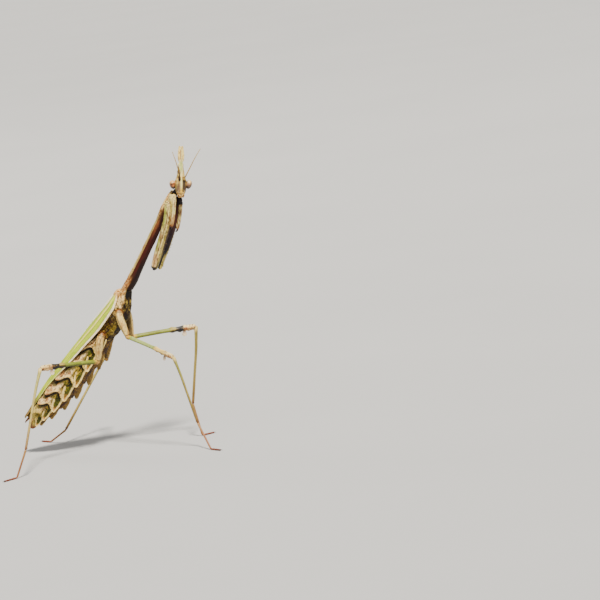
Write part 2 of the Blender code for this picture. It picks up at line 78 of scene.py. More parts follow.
# Stations along the back: place, middle below the back line, half depth, half width
TRUNK_STATIONS = (
    (-6.85, -1.5, 0.95, 1.15), (-5.6, -2.05, 1.30, 1.5), (-3.8, -2.75, 1.80, 1.85),
    (-2.0, -3.05, 2.05, 2.05), (0.5, -3.12, 2.05, 2.05), (3.0, -3.15, 2.05, 2.1),
    (6.6, -3.30, 2.25, 2.4), (10.4, -3.38, 2.38, 2.7), (14.3, -3.42, 2.42, 2.9),
    (18.2, -3.35, 2.25, 2.75), (21.5, -3.17, 1.97, 2.4), (24.5, -2.92, 1.50, 1.8),
    (26.7, -2.95, 1.0, 1.25), (28.4, -3.05, 0.45, 0.6),
)
THORAX_START, THORAX_END, TRUNK_END = -6.85, 3.1, 28.4
WAIST = -1.6                # the furrow between the two segments of the thorax
THORAX_SEAMS = (-4.6, -2.9, 0.35, 1.9)
SEGMENTS = (3.0, 6.6, 10.4, 14.3, 18.2, 21.5, 24.5, 26.7)
BELLY_LOBES = (0.72, 0.85, 1.0, 1.0, 0.95, 0.7, 0.35)

# Tegmen stations: place, half width of the folded pair, drop of the front margin
TEGMEN = (
    (-5.3, 1.1, 0.8), (-4.2, 1.95, 1.8), (-2.4, 2.55, 2.5), (2.2, 2.9, 2.75), (7.0, 3.05, 2.4),
    (11.7, 3.1, 2.0), (16.5, 2.85, 1.4), (20.9, 2.4, 1.1), (24.5, 1.75, 0.8), (26.6, 1.2, 0.55),
    (27.5, 0.7, 0.4),
)
HINDWING = (
    (23.0, 1.35, 0.4), (24.7, 1.25, 0.35), (26.5, 1.05, 0.3), (27.8, 0.75, 0.2), (28.4, 0.4, 0.1),
)
HINDWING_DROP = 0.72
WING_DROOP = 0.75           # how far the wing tips hang below a straight line
WING_GIRTH = 1.45           # the way round a wing, as a share of its half width
TEGMEN_THICKNESS, HINDWING_THICKNESS = 0.13, 0.09

# Pronotum stations: share of its length, half width, half depth
PRONOTUM = (
    (-0.02, 0.95, 0.75), (0.0, 1.15, 0.92), (0.07, 1.25, 1.08), (0.2, 1.02, 0.98), (0.5, 0.9, 0.88),
    (0.7, 0.98, 0.88), (0.79, 1.45, 0.95), (0.845, 1.8, 1.0), (0.9, 1.5, 1.0), (0.97, 1.12, 0.92),
    (1.03, 0.75, 0.7),
)

# Head and crest, bottom to top: height above the eyes' middle, half width, front, back
HEAD = (
    (-2.3, 0.3, 0.62, 0.1), (-1.9, 0.6, 0.76, -0.25), (-1.4, 0.88, 0.84, -0.45),
    (-0.8, 1.04, 0.88, -0.7), (0.0, 1.15, 0.86, -0.85), (0.6, 1.13, 0.8, -0.8),
    (1.1, 0.96, 0.74, -0.65), (1.6, 0.78, 0.64, -0.5), (2.4, 0.64, 0.5, -0.38),
    (3.0, 0.53, 0.4, -0.32), (3.6, 0.5, 0.34, -0.28), (4.1, 0.4, 0.28, -0.26),
    (4.7, 0.56, 0.24, -0.22), (5.5, 0.63, 0.22, -0.2), (6.4, 0.54, 0.22, -0.18),
    (7.3, 0.4, 0.2, -0.14),
)

# Raptorial legs (f, l, z): socket, elbow, knee and tibia tip
FORELEGS = {
    "right": ((12.97, -2.0, 46.4), (8.4, -2.35, 34.5), (13.94, -1.5, 47.75), (12.92, -1.55, 42.1)),
    "left": ((11.98, 2.0, 45.7), (7.92, 2.2, 34.1), (13.8, 1.4, 46.8), (12.72, 1.45, 41.15)),
}
# Walking legs (f, l, z): socket, hip, knee, ankle, heel and toe
WALKING_LEGS = {
    "mid_right": ((-0.1, -1.95, 26.7), (1.16, -2.3, 21.95), (11.8, -6.2, 18.0),
                  (13.8, -3.7, 4.75), (16.9, -6.3, 0.3), (19.6, -7.9, 0.2)),
    "mid_left": ((-0.4, 1.95, 26.6), (-0.1, 2.3, 21.1), (11.3, 7.2, 21.45),
                 (8.8, 6.5, 6.6), (9.3, 7.8, 0.3), (10.9, 10.2, 0.2)),
    "hind_right": ((-4.25, -2.1, 22.6), (-5.5, -2.75, 17.65), (-12.0, -14.3, 19.0),
                   (-13.3, -22.6, 5.15), (-15.6, -23.1, 0.3), (-17.0, -26.0, 0.2)),
    "hind_left": ((-4.6, 2.1, 22.5), (-6.2, 2.7, 17.2), (-11.5, 14.9, 16.6),
                  (-19.8, 8.3, 2.7), (-24.3, 10.4, 0.3), (-26.9, 11.7, 0.2)),
}

# Limb profiles: share of the length, half width, half depth
FORE_COXA = ((0.0, 0.36, 0.4), (0.06, 0.42, 0.5), (0.2, 0.44, 0.5), (0.5, 0.43, 0.5), (0.75, 0.4, 0.47),
             (0.9, 0.4, 0.46), (1.0, 0.34, 0.38))
FORE_FEMUR = ((0.0, 0.3, 0.32), (0.05, 0.36, 0.42), (0.12, 0.33, 0.48), (0.22, 0.37, 0.6),
              (0.38, 0.4, 0.72), (0.54, 0.39, 0.8), (0.7, 0.36, 0.82), (0.85, 0.35, 0.8),
              (0.95, 0.38, 0.74), (1.0, 0.34, 0.62))
FORE_TIBIA = ((0.0, 0.34, 0.38), (0.08, 0.36, 0.42), (0.25, 0.33, 0.38), (0.6, 0.31, 0.38),
              (0.85, 0.29, 0.36), (1.0, 0.22, 0.29))
COXA = ((0.0, 0.5, 0.56), (0.15, 0.6, 0.72), (0.5, 0.6, 0.74), (0.8, 0.52, 0.62), (0.95, 0.44, 0.5),
        (1.0, 0.34, 0.38))
TROCHANTER = ((0.0, 0.3, 0.3), (0.3, 0.42, 0.42), (0.7, 0.4, 0.42), (1.0, 0.3, 0.32))
FEMUR = ((0.0, 0.34, 0.34), (0.05, 0.4, 0.42), (0.16, 0.37, 0.4), (0.5, 0.34, 0.38), (0.57, 0.34, 0.4),
         (0.62, 0.36, 0.48), (0.66, 0.33, 0.42), (0.72, 0.32, 0.42), (0.78, 0.34, 0.48),
         (0.84, 0.36, 0.5), (0.9, 0.37, 0.5), (0.96, 0.41, 0.52), (1.0, 0.3, 0.38))
TIBIA = ((0.0, 0.28, 0.32), (0.03, 0.32, 0.37), (0.08, 0.28, 0.32), (0.2, 0.24, 0.27),
         (0.6, 0.22, 0.24), (0.96, 0.22, 0.24), (1.0, 0.17, 0.19))
JOINT = ((0.0, 0.62, 0.62), (0.1, 0.8, 0.8), (0.5, 0.82, 0.82), (0.85, 1.05, 1.05), (0.96, 1.0, 1.0),
         (1.0, 0.6, 0.6))

# Rings and corners of the large skins
HEAD_GRID = (300, 120)
EYE_GRID = (72, 96)
SHIELD_GRID = (420, 96)
THORAX_GRID = (240, 150)
ABDOMEN_GRID = (620, 190)
TEGMEN_GRID = (330, 104)
HINDWING_GRID = (110, 80)
LIMB_RINGS, LIMB_SIDES = 220, 48


# ---- Colours --------------------------------------------------------------------------------
LUMA = (0.2126, 0.7152, 0.0722)
VIVIDNESS, CONTRAST = 1.12, 1.5
WARMTH = (1.0, 0.97, 0.8)          # how much of the red, green and blue is kept
TAN, BROWN, UMBER, PLUM, INK, MOSS = 0xC8985C, 0x704220, 0x422612, 0x361A28, 0x181012, 0x6C701A


def tone(colour):
    """A screen colour such as 0xE8DCB0, as the scene-linear numbers that the film-like view shows so."""
    if not isinstance(colour, int):
        return colour
    level = np.array((colour >> 16, colour >> 8 & 255, colour & 255)) / 255
    linear = np.where(level <= 0.04045, level / 12.92, ((level + 0.055) / 1.055) ** 2.4)
    grey = linear @ LUMA
    vivid = np.maximum(grey + (linear - grey) * VIVIDNESS, 0)
    return np.clip(vivid ** CONTRAST * WARMTH, 0.001, 0.92)


def capped(x):
    return np.clip(x, 0, 1)


def rise(x, low, high):
    """0 below low, 1 above high, and a smooth step between."""
    t = capped((x - low) / (high - low))
    return t * t * (3 - 2 * t)


def fall(x, low, high):
    return 1 - rise(x, low, high)


def band(x, low, high, soft):
    """1 between low and high, with soft edges."""
    return rise(x, low - soft, low + soft) * fall(x, high - soft, high + soft)


def bump(x, middle, reach):
    """A bell about a middle value."""
    return np.exp(-((x - middle) / reach) ** 2)


def mix(base, *layers):
    """Lay colours over a base in turn, each followed by how much of it shows at each point."""
    base = tone(base)
    for colour, share in zip(layers[::2], layers[1::2]):
        share = capped(share)[..., None]
        base = base * (1 - share) + tone(colour) * share
    return base


def noise(points, size, seed=0):
    """Smooth noise from -1 to 1, with patches of about the given size."""
    spots = np.asarray(points, float) / size + 31.7 * seed + 100.0
    cell = np.floor(spots).astype(np.int64)
    part = spots - cell
    part = part * part * (3 - 2 * part)
    total = np.zeros(spots.shape[:-1])
    for corner in product((0, 1), repeat=3):
        key = (cell + corner).astype(np.uint32)
        mixed = key[..., 0] * np.uint32(73856093) ^ key[..., 1] * np.uint32(19349663)
        mixed = mixed ^ key[..., 2] * np.uint32(83492791)
        mixed = (mixed ^ (mixed >> np.uint32(13))) * np.uint32(1274126177)
        mixed = mixed ^ (mixed >> np.uint32(16))
        weight = np.prod(np.where(corner, part, 1 - part), axis=-1)
        total += weight * (mixed / 2 ** 31 - 1)
    return total


def rough(points, size, seed):
    """Noise with finer noise on it."""
    return noise(points, size, seed) * 0.62 + noise(points, size * 0.47, seed + 1) * 0.38


# ---- Frames ---------------------------------------------------------------------------------
def unit(vector):
    return vector / np.maximum(np.linalg.norm(vector, axis=-1, keepdims=True), 1e-9)


def world(f, l, z):
    """A place in the animal's directions: it faces -Y and its left is +X."""
    return np.array((l, -f, z), float)


LEFT = np.array((1.0, 0.0, 0.0))
UP = np.array((0.0, 0.0, 1.0))


class Axes:
    """Local directions, each a row of turn, about an origin."""

    def __init__(self, origin, *directions):
        self.origin = origin
        self.turn = np.array(directions)

    def place(self, local):
        return self.origin + np.asarray(local, float) @ self.turn


def sloping(pitch):
    """The directions up a slope and square out of it."""
    rad = math.radians(pitch)
    return world(math.cos(rad), 0, math.sin(rad)), world(-math.sin(rad), 0, math.cos(rad))


def head_axes():
    """The head's left, its face's direction and its crest's direction."""
    yaw, roll = math.radians(HEAD_YAW), math.radians(HEAD_ROLL)
    face = world(math.cos(yaw), -math.sin(yaw), 0)
    level = world(math.sin(yaw), math.cos(yaw), 0)
    left = level * math.cos(roll) - UP * math.sin(roll)
    return Axes(world(HEAD_F, HEAD_L, HEAD_Z), left, face, UP * math.cos(roll) + level * math.sin(roll))


def slope_axes(f, z, pitch, sign):
    """Along a slope, to the left and out of the slope; sign -1 points the first one down the slope."""
    forward, above = sloping(pitch)
    return Axes(world(f, 0, z), sign * forward, LEFT, above)


TRUNK = slope_axes(BACK_F, BACK_Z, TRUNK_PITCH, -1)
SHIELD = slope_axes(PRONOTUM_F, PRONOTUM_Z, PRONOTUM_PITCH, 1)
FACE = head_axes()


def middle_of(*nodes):
    """The middle of the CAD nodes' boxes, in millimetres."""
    corners = np.array([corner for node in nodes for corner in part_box(node)])
    return (corners.min(0) + corners.max(0)) / 2 / MM


def animal_origin():
    """Where the animal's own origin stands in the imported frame."""
    eyes = middle_of("eye_left", "eye_right") - FACE.place((0, *EYE_PLACE))
    return np.array((middle_of("tegmen_left", "tegmen_right")[0], eyes[1], 0.0))


ORIGIN = animal_origin()


# ---- Curves and grids -----------------------------------------------------------------------
def along_curve(x, y, lean, places):
    """Values at places on the smooth curve through y at x, which leans as given there."""
    i = np.clip(np.searchsorted(x, places, side="right") - 1, 0, len(x) - 2)
    step = (x[i + 1] - x[i])[..., None]
    t = (places - x[i])[..., None] / step
    return (y[i] * (2 * t ** 3 - 3 * t ** 2 + 1) + y[i + 1] * (3 * t ** 2 - 2 * t ** 3)
            + step * (lean[i] * (t ** 3 - 2 * t ** 2 + t) + lean[i + 1] * (t ** 3 - t ** 2)))


def read(stations, places):
    """Values off a list of stations by a smooth curve that never overshoots."""
    table = np.array(stations, float)
    x, y = table[:, 0], table[:, 1:]
    slope = np.diff(y, axis=0) / np.diff(x)[:, None]
    before, after = slope[:-1], slope[1:]
    rising = before * after > 0
    inner = np.where(rising, 2 * before * after / np.where(rising, before + after, 1), 0)
    lean = np.concatenate((slope[:1], inner, slope[-1:]))
    return along_curve(x, y, lean, np.clip(places, x[0], x[-1]))


def route(points, count):
    """Points spaced along a smooth curve through the given ones."""
    points = np.array(points, float)
    if len(points) == 2:
        return points[0] + (points[1] - points[0]) * np.linspace(0, 1, count)[:, None]
    reach = np.concatenate(([0], np.cumsum(np.linalg.norm(np.diff(points, axis=0), axis=1))))
    lean = np.gradient(points, reach, axis=0)
    return along_curve(reach, points, lean, np.linspace(0, reach[-1], count))


def even(*pairs):
    """Stations of a round limb, from pairs of share and radius."""
    return [(share, radius, radius) for share, radius in pairs]


def rings_between(low, high, rings, sides):
    """Each ring's place from low to high and each corner's angle, as two grids."""
    return np.broadcast_arrays(np.linspace(low, high, rings)[:, None],
                               (np.arange(sides) * TURN / sides)[None])


def from_below(angle):
    """Degrees from the lower side, up to 180 on the back, on either side alike."""
    return np.degrees(np.abs((angle + math.pi) % TURN - math.pi))


def globe(rings, sides, cap):
    """Points of a unit ball, but for a small cap at each pole, which is an angle."""
    polar, angle = rings_between(cap, math.pi - cap, rings, sides)
    girth = np.sin(polar)
    return np.stack((girth * np.sin(angle), girth * np.cos(angle), np.cos(polar)), axis=-1)


def strip(rows, half):
    """Shares of the length and, from -1 to 1, of the half width of a flat leaf."""
    return np.linspace(0, 1, rows)[:, None], np.linspace(-1, 1, 2 * half + 1)[None]


def both(front, behind):
    """Close a sheet's front and back into rings."""
    return np.concatenate((front, behind[:, ::-1]), axis=1)


def teeth(share, count):
    """A row of points, 1 at each tip."""
    return np.abs((share * count) % 1.0 - 0.5) * 2


# ---- Pieces ---------------------------------------------------------------------------------
class Shell:
    """Patches of one piece, each a grid of points closed round and at both ends."""

    def __init__(self):
        self.points, self.paint, self.lay, self.faces = [], [], [], []
        self.count = 0

    def _add(self, *patch):
        start = self.count
        for store, values in zip((self.points, self.paint, self.lay), patch):
            store.append(values.reshape(-1, 3))
        self.count += len(self.points[-1])
        return start

    def wrap(self, grid, paint, lay=None):
        """Add a row of rings. lay is each point's place on the surface, in millimetres."""
        rows, sides = grid.shape[:2]
        lay = surface_places(grid) if lay is None else lay
        patch = grid, np.broadcast_to(tone(paint), grid.shape), lay
        start = self._add(*patch)
        ring = np.arange(sides)
        following = np.roll(ring, -1)
        for low in range(start, start + (rows - 1) * sides, sides):
            corners = low + ring, low + following, low + sides + following, low + sides + ring
            self.faces += np.stack(corners, axis=1).tolist()
        for row in (0, rows - 1):
            tip = self._add(*(values[row].mean(0)[None] for values in patch))
            corners = start + row * sides + ring, start + row * sides + following, np.full(sides, tip)
            self.faces += np.stack(corners, axis=1).tolist()

    def rod(self, path, stations, across, sides, rings, root, tip, low, high, **shape):
        """Add a tube that turns from one colour to another between two shares of its length."""
        grid, share, _ = tube(path, stations, across, sides, rings, **shape)
        self.wrap(grid, mix(root, tip, rise(share, low, high)))

    def ball(self, middle, radius, paint, radii=(1, 1, 1)):
        """Add a small egg, with its radii as shares of the radius."""
        self.wrap(middle + globe(8, 14, 0.06) * radii * radius, paint)

    def knob(self, path, stations, across, sides, rings, paint, spots, size, seed, low, high):
        """Add a tube with spots of the given size."""
        grid, _, _ = tube(path, stations, across, sides, rings)
        self.wrap(grid, mix(paint, spots, rise(rough(grid, size, seed), low, high)))

    def spine(self, foot, direction, length, radius, root, tip, bow=0.0, bow_to=UP):
        """A thin thorn, curved by bow as a share of its length."""
        direction = unit(direction)
        points = [foot - direction * radius,
                  foot + direction * length * 0.5 - bow_to * bow * length * 0.4,
                  foot + direction * length + bow_to * bow * length * 0.6]
        stations = even((0.0, radius), (0.3, radius * 0.8), (1.0, radius * 0.12))
        across = unit(np.cross(direction, bow_to + np.array((0.01, 0.02, 0.0))))
        self.rod(points, stations, across, 7, 7, root, tip, 0.25, 0.8)

    def thorn(self, grid, row, column, lean, *look, out=None):
        """A spine that stands out of a limb's surface and leans along it."""
        stem = grid[row, column] - grid[row].mean(0)
        self.spine(grid[row, column], (stem if out is None else unit(stem) * out) + lean, *look)

    def build(self, name, material, slot, *nodes):
        """Make the piece, which stands for the CAD nodes."""
        mesh = bpy.data.meshes.new(name)
        points = (np.concatenate(self.points) + ORIGIN) * MM
        mesh.from_pydata(points.tolist(), [], self.faces)
        rgb = capped(np.concatenate(self.paint))
        paint = mesh.attributes.new("paint", "FLOAT_COLOR", "POINT")
        paint.data.foreach_set("color", np.c_[rgb, np.ones(len(rgb))].astype(np.float32).ravel())
        lay = mesh.attributes.new("lay", "FLOAT_VECTOR", "POINT")
        lay.data.foreach_set("vector", np.concatenate(self.lay).astype(np.float32).ravel())
        bm = bmesh.new()
        bm.from_mesh(mesh)
        bmesh.ops.recalc_face_normals(bm, faces=bm.faces)
        bm.to_mesh(mesh)
        bm.free()
        mesh.shade_smooth()
        mesh.materials.append(material)
        piece = bpy.data.objects.new(name, mesh)
        bpy.context.scene.collection.objects.link(piece)
        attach(piece, "root")
        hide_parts(*nodes)


def surface_places(grid):
    """How far along and how far round each point of a grid lies, in millimetres."""
    along = np.concatenate(([0], np.cumsum(np.linalg.norm(np.diff(grid.mean(1), axis=0), axis=1))))
    steps = np.linalg.norm(np.diff(grid, axis=1), axis=2)
    around = np.concatenate((np.zeros((len(grid), 1)), np.cumsum(steps, axis=1)), axis=1)
    return np.stack((along[:, None] + 0 * around, around, 0 * around), axis=-1)


def tube(path, stations, across, sides, rings, dent=None, above_hint=UP, blunt=0.2):
    """Rings along a path: the grid, each ring's share of the length and each corner's angle.

    The angle is 0 at the lower side and a quarter turn at the side that across points to.
    dent gives how far each point stands out, and blunt is the length of the rounded ends, in millimetres.
    """
    share = np.linspace(0, 1, rings)
    middle = route(path, rings)
    length = np.linalg.norm(np.diff(middle, axis=0), axis=1).sum()
    ahead = unit(np.gradient(middle, axis=0))
    side = unit(across - ahead * (ahead @ across)[:, None])
    above = np.cross(side, ahead)
    if above.mean(0) @ above_hint < 0:
        above = -above
    near_end = capped(np.minimum(share, 1 - share) * length / blunt)
    round_off = np.sqrt(np.clip(1 - (1 - near_end) ** 2, 0.01, 1))
    size = read(stations, share) * round_off[:, None]
    share, angle = rings_between(0, 1, rings, sides)
    x = size[:, 0, None] * np.sin(angle)
    y = -size[:, 1, None] * np.cos(angle)
    if dent is not None:
        out = 1 + dent(share, angle) * round_off[:, None] / np.hypot(x, y)
        x, y = x * out, y * out
    return middle[:, None] + side[:, None] * x[..., None] + above[:, None] * y[..., None], share, angle


# ---- Materials ------------------------------------------------------------------------------
def feed(tree, made, inputs):
    """Set a node's inputs, each to a number or colour, or link it to another node's output."""
    for key, value in inputs.items():
        if isinstance(value, bpy.types.NodeSocket):
            tree.links.new(value, made.inputs[key])
        else:
            made.inputs[key].default_value = value


def node(tree, kind, out, inputs, **settings):
    """One output of a new node."""
    made = tree.nodes.new("ShaderNode" + kind)
    for key, value in settings.items():
        setattr(made, key, value)
    feed(tree, made, inputs)
    return made.outputs[out]


def new_material(name):
    material = bpy.data.materials.new(name)
    material.use_nodes = True
    return material, material.node_tree


def attribute(tree, name, out):
    """A mesh attribute: paint is the colour and lay the place on the surface."""
    return node(tree, "Attribute", out, {}, attribute_name=name)


def space(tree):
    """The place in space, in millimetres."""
    return stretched(tree, node(tree, "TexCoord", "Object", {}), (1 / MM,) * 3)


def clouds(tree, vector, scale, detail, roughness=0.6):
    return node(tree, "TexNoise", "Fac", {"Vector": vector, "Scale": scale, "Detail": detail,
                                          "Roughness": roughness})


def cells(tree, vector, scale, randomness, feature="F1"):
    inputs = {"Vector": vector, "Scale": scale, "Randomness": randomness}
    return node(tree, "TexVoronoi", "Distance", inputs, feature=feature)


def ranged(tree, value, low, high, to_low, to_high):
    """Map a value's range to another."""
    return node(tree, "MapRange", "Result", {"Value": value, "From Min": low, "From Max": high,
                                             "To Min": to_low, "To Max": to_high})


def tinted(tree, base, tint, factor, blend="MIX"):
    """Blend a colour, or another socket, into a colour socket."""
    if isinstance(tint, int):
        tint = (*tone(tint), 1)
    return node(tree, "Mix", "Result", {"A": base, "B": tint, "Factor": factor}, data_type="RGBA",
                blend_type=blend)


def shaded(tree, shade):
    """The painted colour, multiplied by a grey."""
    grey = node(tree, "CombineColor", "Color", {"Red": shade, "Green": shade, "Blue": shade})
    return tinted(tree, attribute(tree, "paint", "Color"), grey, 1.0, "MULTIPLY")


def times(tree, value, other):
    return node(tree, "Math", "Value", {0: value, 1: other}, operation="MULTIPLY")


def stretched(tree, vector, scale):
    return node(tree, "Mapping", "Vector", {"Vector": vector, "Scale": scale})


def finish_skin(tree, colour, roughness, height, strength, depth, invert=False, **constants):
    """Feed the shader, with a relief of the given depth in millimetres."""
    bumps = {"Strength": strength, "Distance": depth * MM, "Height": height}
    relief = node(tree, "Bump", "Normal", bumps, invert=invert)
    inputs = {"Base Color": colour, "Roughness": roughness, "Normal": relief}
    inputs.update((key.replace("_", " "), value) for key, value in constants.items())
    feed(tree, tree.nodes["Principled BSDF"], inputs)


def cuticle(name, roughness=0.5, mottle=0.25, speckle=0.35, streak=0.3, shine=0.4, fleck=UMBER,
            spot_size=0.16):
    """Painted insect shell: cloudy, speckled, finely streaked along its length and pebbled."""
    material, tree = new_material(name)
    lay, solid = attribute(tree, "lay", "Vector"), space(tree)
    cloud = clouds(tree, solid, 2.6, 4.0)
    fibre = clouds(tree, stretched(tree, lay, (0.5, 9.0, 1.0)), 1.0, 3.0)
    spots = ranged(tree, cells(tree, solid, 1 / spot_size, 1.0), 0.26, 0.14, 0.0, 1.0)
    patches = ranged(tree, clouds(tree, solid, 1.1, 2.0, 0.5), 0.46, 0.6, 0.0, speckle)
    colour = shaded(tree, ranged(tree, cloud, 0.3, 0.7, 1 - mottle, 1 + mottle * 0.5))
    colour = tinted(tree, colour, fleck, ranged(tree, fibre, 0.52, 0.68, 0.0, streak))
    colour = tinted(tree, colour, fleck, times(tree, spots, patches))
    height = node(tree, "Math", "Value", {0: cells(tree, solid, 13.0, 0.9), 1: 0.5, 2: fibre},
                  operation="MULTIPLY_ADD")
    finish_skin(tree, colour, ranged(tree, cloud, 0.3, 0.7, roughness - 0.08, roughness + 0.12), height,
                0.5, 0.03, Specular_IOR_Level=shine)
    return material


def wing_skin(name, cell, line, line_share, roughness):
    """Leathery wing: a net of fine raised veinlets over the painted colour."""
    material, tree = new_material(name)
    lay = attribute(tree, "lay", "Vector")
    net = cells(tree, stretched(tree, lay, (0.55, 1.3, 1.0)), 1 / cell, 0.85, "DISTANCE_TO_EDGE")
    veinlets = ranged(tree, net, 0.0, 0.14, 1.0, 0.0)
    cloud = clouds(tree, stretched(tree, lay, (0.5, 2.2, 1.0)), 1.4, 4.0)
    colour = shaded(tree, ranged(tree, cloud, 0.3, 0.7, 0.84, 1.12))
    colour = tinted(tree, colour, line, times(tree, veinlets, line_share))
    finish_skin(tree, colour, ranged(tree, cloud, 0.3, 0.7, roughness - 0.06, roughness + 0.1), veinlets,
                0.6, 0.03, Coat_Weight=0.06, Coat_Roughness=0.3)
    return material


def eye_skin():
    """Compound eye: painted under a clear coat, with a fine honeycomb of facets."""
    material, tree = new_material("compound_eye")
    solid = space(tree)
    facets = cells(tree, solid, 22.0, 0.25)
    colour = shaded(tree, ranged(tree, clouds(tree, solid, 5.0, 3.0), 0.3, 0.7, 0.8, 1.15))
    finish_skin(tree, colour, ranged(tree, facets, 0.0, 0.6, 0.26, 0.42), facets, 0.35, 0.012, True,
                Coat_Weight=0.25, Coat_Roughness=0.16)
    return material


PALE = cuticle("pale_shell", mottle=0.2, speckle=0.45, streak=0.22)
SHIELD_SKIN = cuticle("shield_shell", 0.55, 0.28, 0.4, 0.35, shine=0.2)
BELLY_SKIN = cuticle("mottled_shell", 0.56, 0.35, 0.75, shine=0.2, spot_size=0.22)
GREEN_LIMB = cuticle("green_shell", 0.5, 0.18, 0.15, 0.22, fleck=MOSS)
KHAKI_LIMB = cuticle("khaki_shell", 0.52, 0.2, 0.2, 0.35, fleck=BROWN)
BROWN_LIMB = cuticle("brown_shell", speckle=0.2)
NECK_SKIN = cuticle("neck_membrane", 0.6, 0.3, 0.2, 0.2, fleck=INK)
FEELER_SKIN = cuticle("feeler_shell", 0.5, 0.1, 0.0, 0.0, fleck=BROWN)
TEGMEN_SKIN = wing_skin("leathery_wing", 0.3, 0xCED65A, 0.2, 0.52)
HINDWING_SKIN = wing_skin("thin_wing", 0.4, 0x78543C, 0.5, 0.35)
EYE_SKIN = eye_skin()
SIDES = (("left", 1), ("right", -1))


# ---- Head -----------------------------------------------------------------------------------
def head_point(height, angle, out=0.0):
    """A point of the head's surface; the angle is 0 at the middle of the face."""
    half_width, front, back = np.moveaxis(read(HEAD, height), -1, 0)
    x = half_width * np.sin(angle)
    depth = (front - back) / 2
    y = (front + back) / 2 + depth * np.cos(angle)
    normal = unit(np.stack((depth * np.sin(angle), half_width * np.cos(angle)), axis=-1))
    return np.stack((x + normal[..., 0] * out, y + normal[..., 1] * out, height + 0 * x), axis=-1)


def head_relief(height, angle, x):
    """How far the face's ridge, cheeks, brows and the crest's points stand out."""
    away, flank, right = np.abs(x), np.abs(np.sin(angle)), x < 0
    face = (0.14 * bump(x, 0, 0.13) * band(height, -1.75, 3.4, 0.25)
            - 0.12 * bump(away, 0.38, 0.18) * band(height, -1.3, 1.3, 0.3)
            + 0.07 * bump(away, 0.7, 0.1) * band(height, -1.3, 1.0, 0.3)
            - 0.06 * bump(height, -1.62, 0.09) - 0.05 * bump(height, -1.1, 0.06) * bump(x, 0, 0.55)
            + 0.09 * bump(height, 1.25, 0.2) * bump(away, 0.46, 0.16))
    brow = 0.12 * bump(flank, 0.8, 0.14) * bump(height, 0.9, 0.2)
    # side points of the crest, the right ones sharper
    points = (np.where(right, 0.16, 0.05) * bump(height, 3.85, 0.14)
              + np.where(right, 0.1, 0.02) * bump(height, 2.55, 0.2) - 0.07 * bump(height, 4.2, 0.14))
    blade = 0.07 * bump(x, 0, 0.06) - 0.08 * bump(away, 0.24, 0.12)
    return (face * rise(np.cos(angle), 0.1, 0.6) + brow + points * flank ** 6
            + blade * band(height, 4.5, 7.25, 0.3))


def crest_paint(height, away, x, grain, streak):
    stem = rise(-x - 0.46 + 0.24 * (3.7 - height) + 0.1 * grain, -0.06, 0.06) * fall(height, 3.5, 3.7)
    return mix(
        0xEEE6C0, 0xCAD29C, band(height, 2.6, 4.4, 0.3) * bump(x, 0.0, 0.3),
        0xB69C68, rise(x, 0.3, 0.5) * band(height, 2.0, 4.0, 0.3),
        mix(0xB08C62, 0x6E4E30, rise(streak, -0.1, 0.3)), stem * 0.9,
        0xF8E2A0, bump(away, 0.34, 0.18) * rise(height, 4.5, 5.0) * 0.7,
        0xAA7A4C, bump(x, -0.12 + 0.04 * grain, 0.08) * band(height, 4.8, 6.6, 0.25) * 0.9,
        0xC8A470, rise(streak, 0.0, 0.4) * rise(height, 4.2, 4.8) * 0.6,
        0xA08054, rise(grain, 0.3, 0.6) * 0.5)


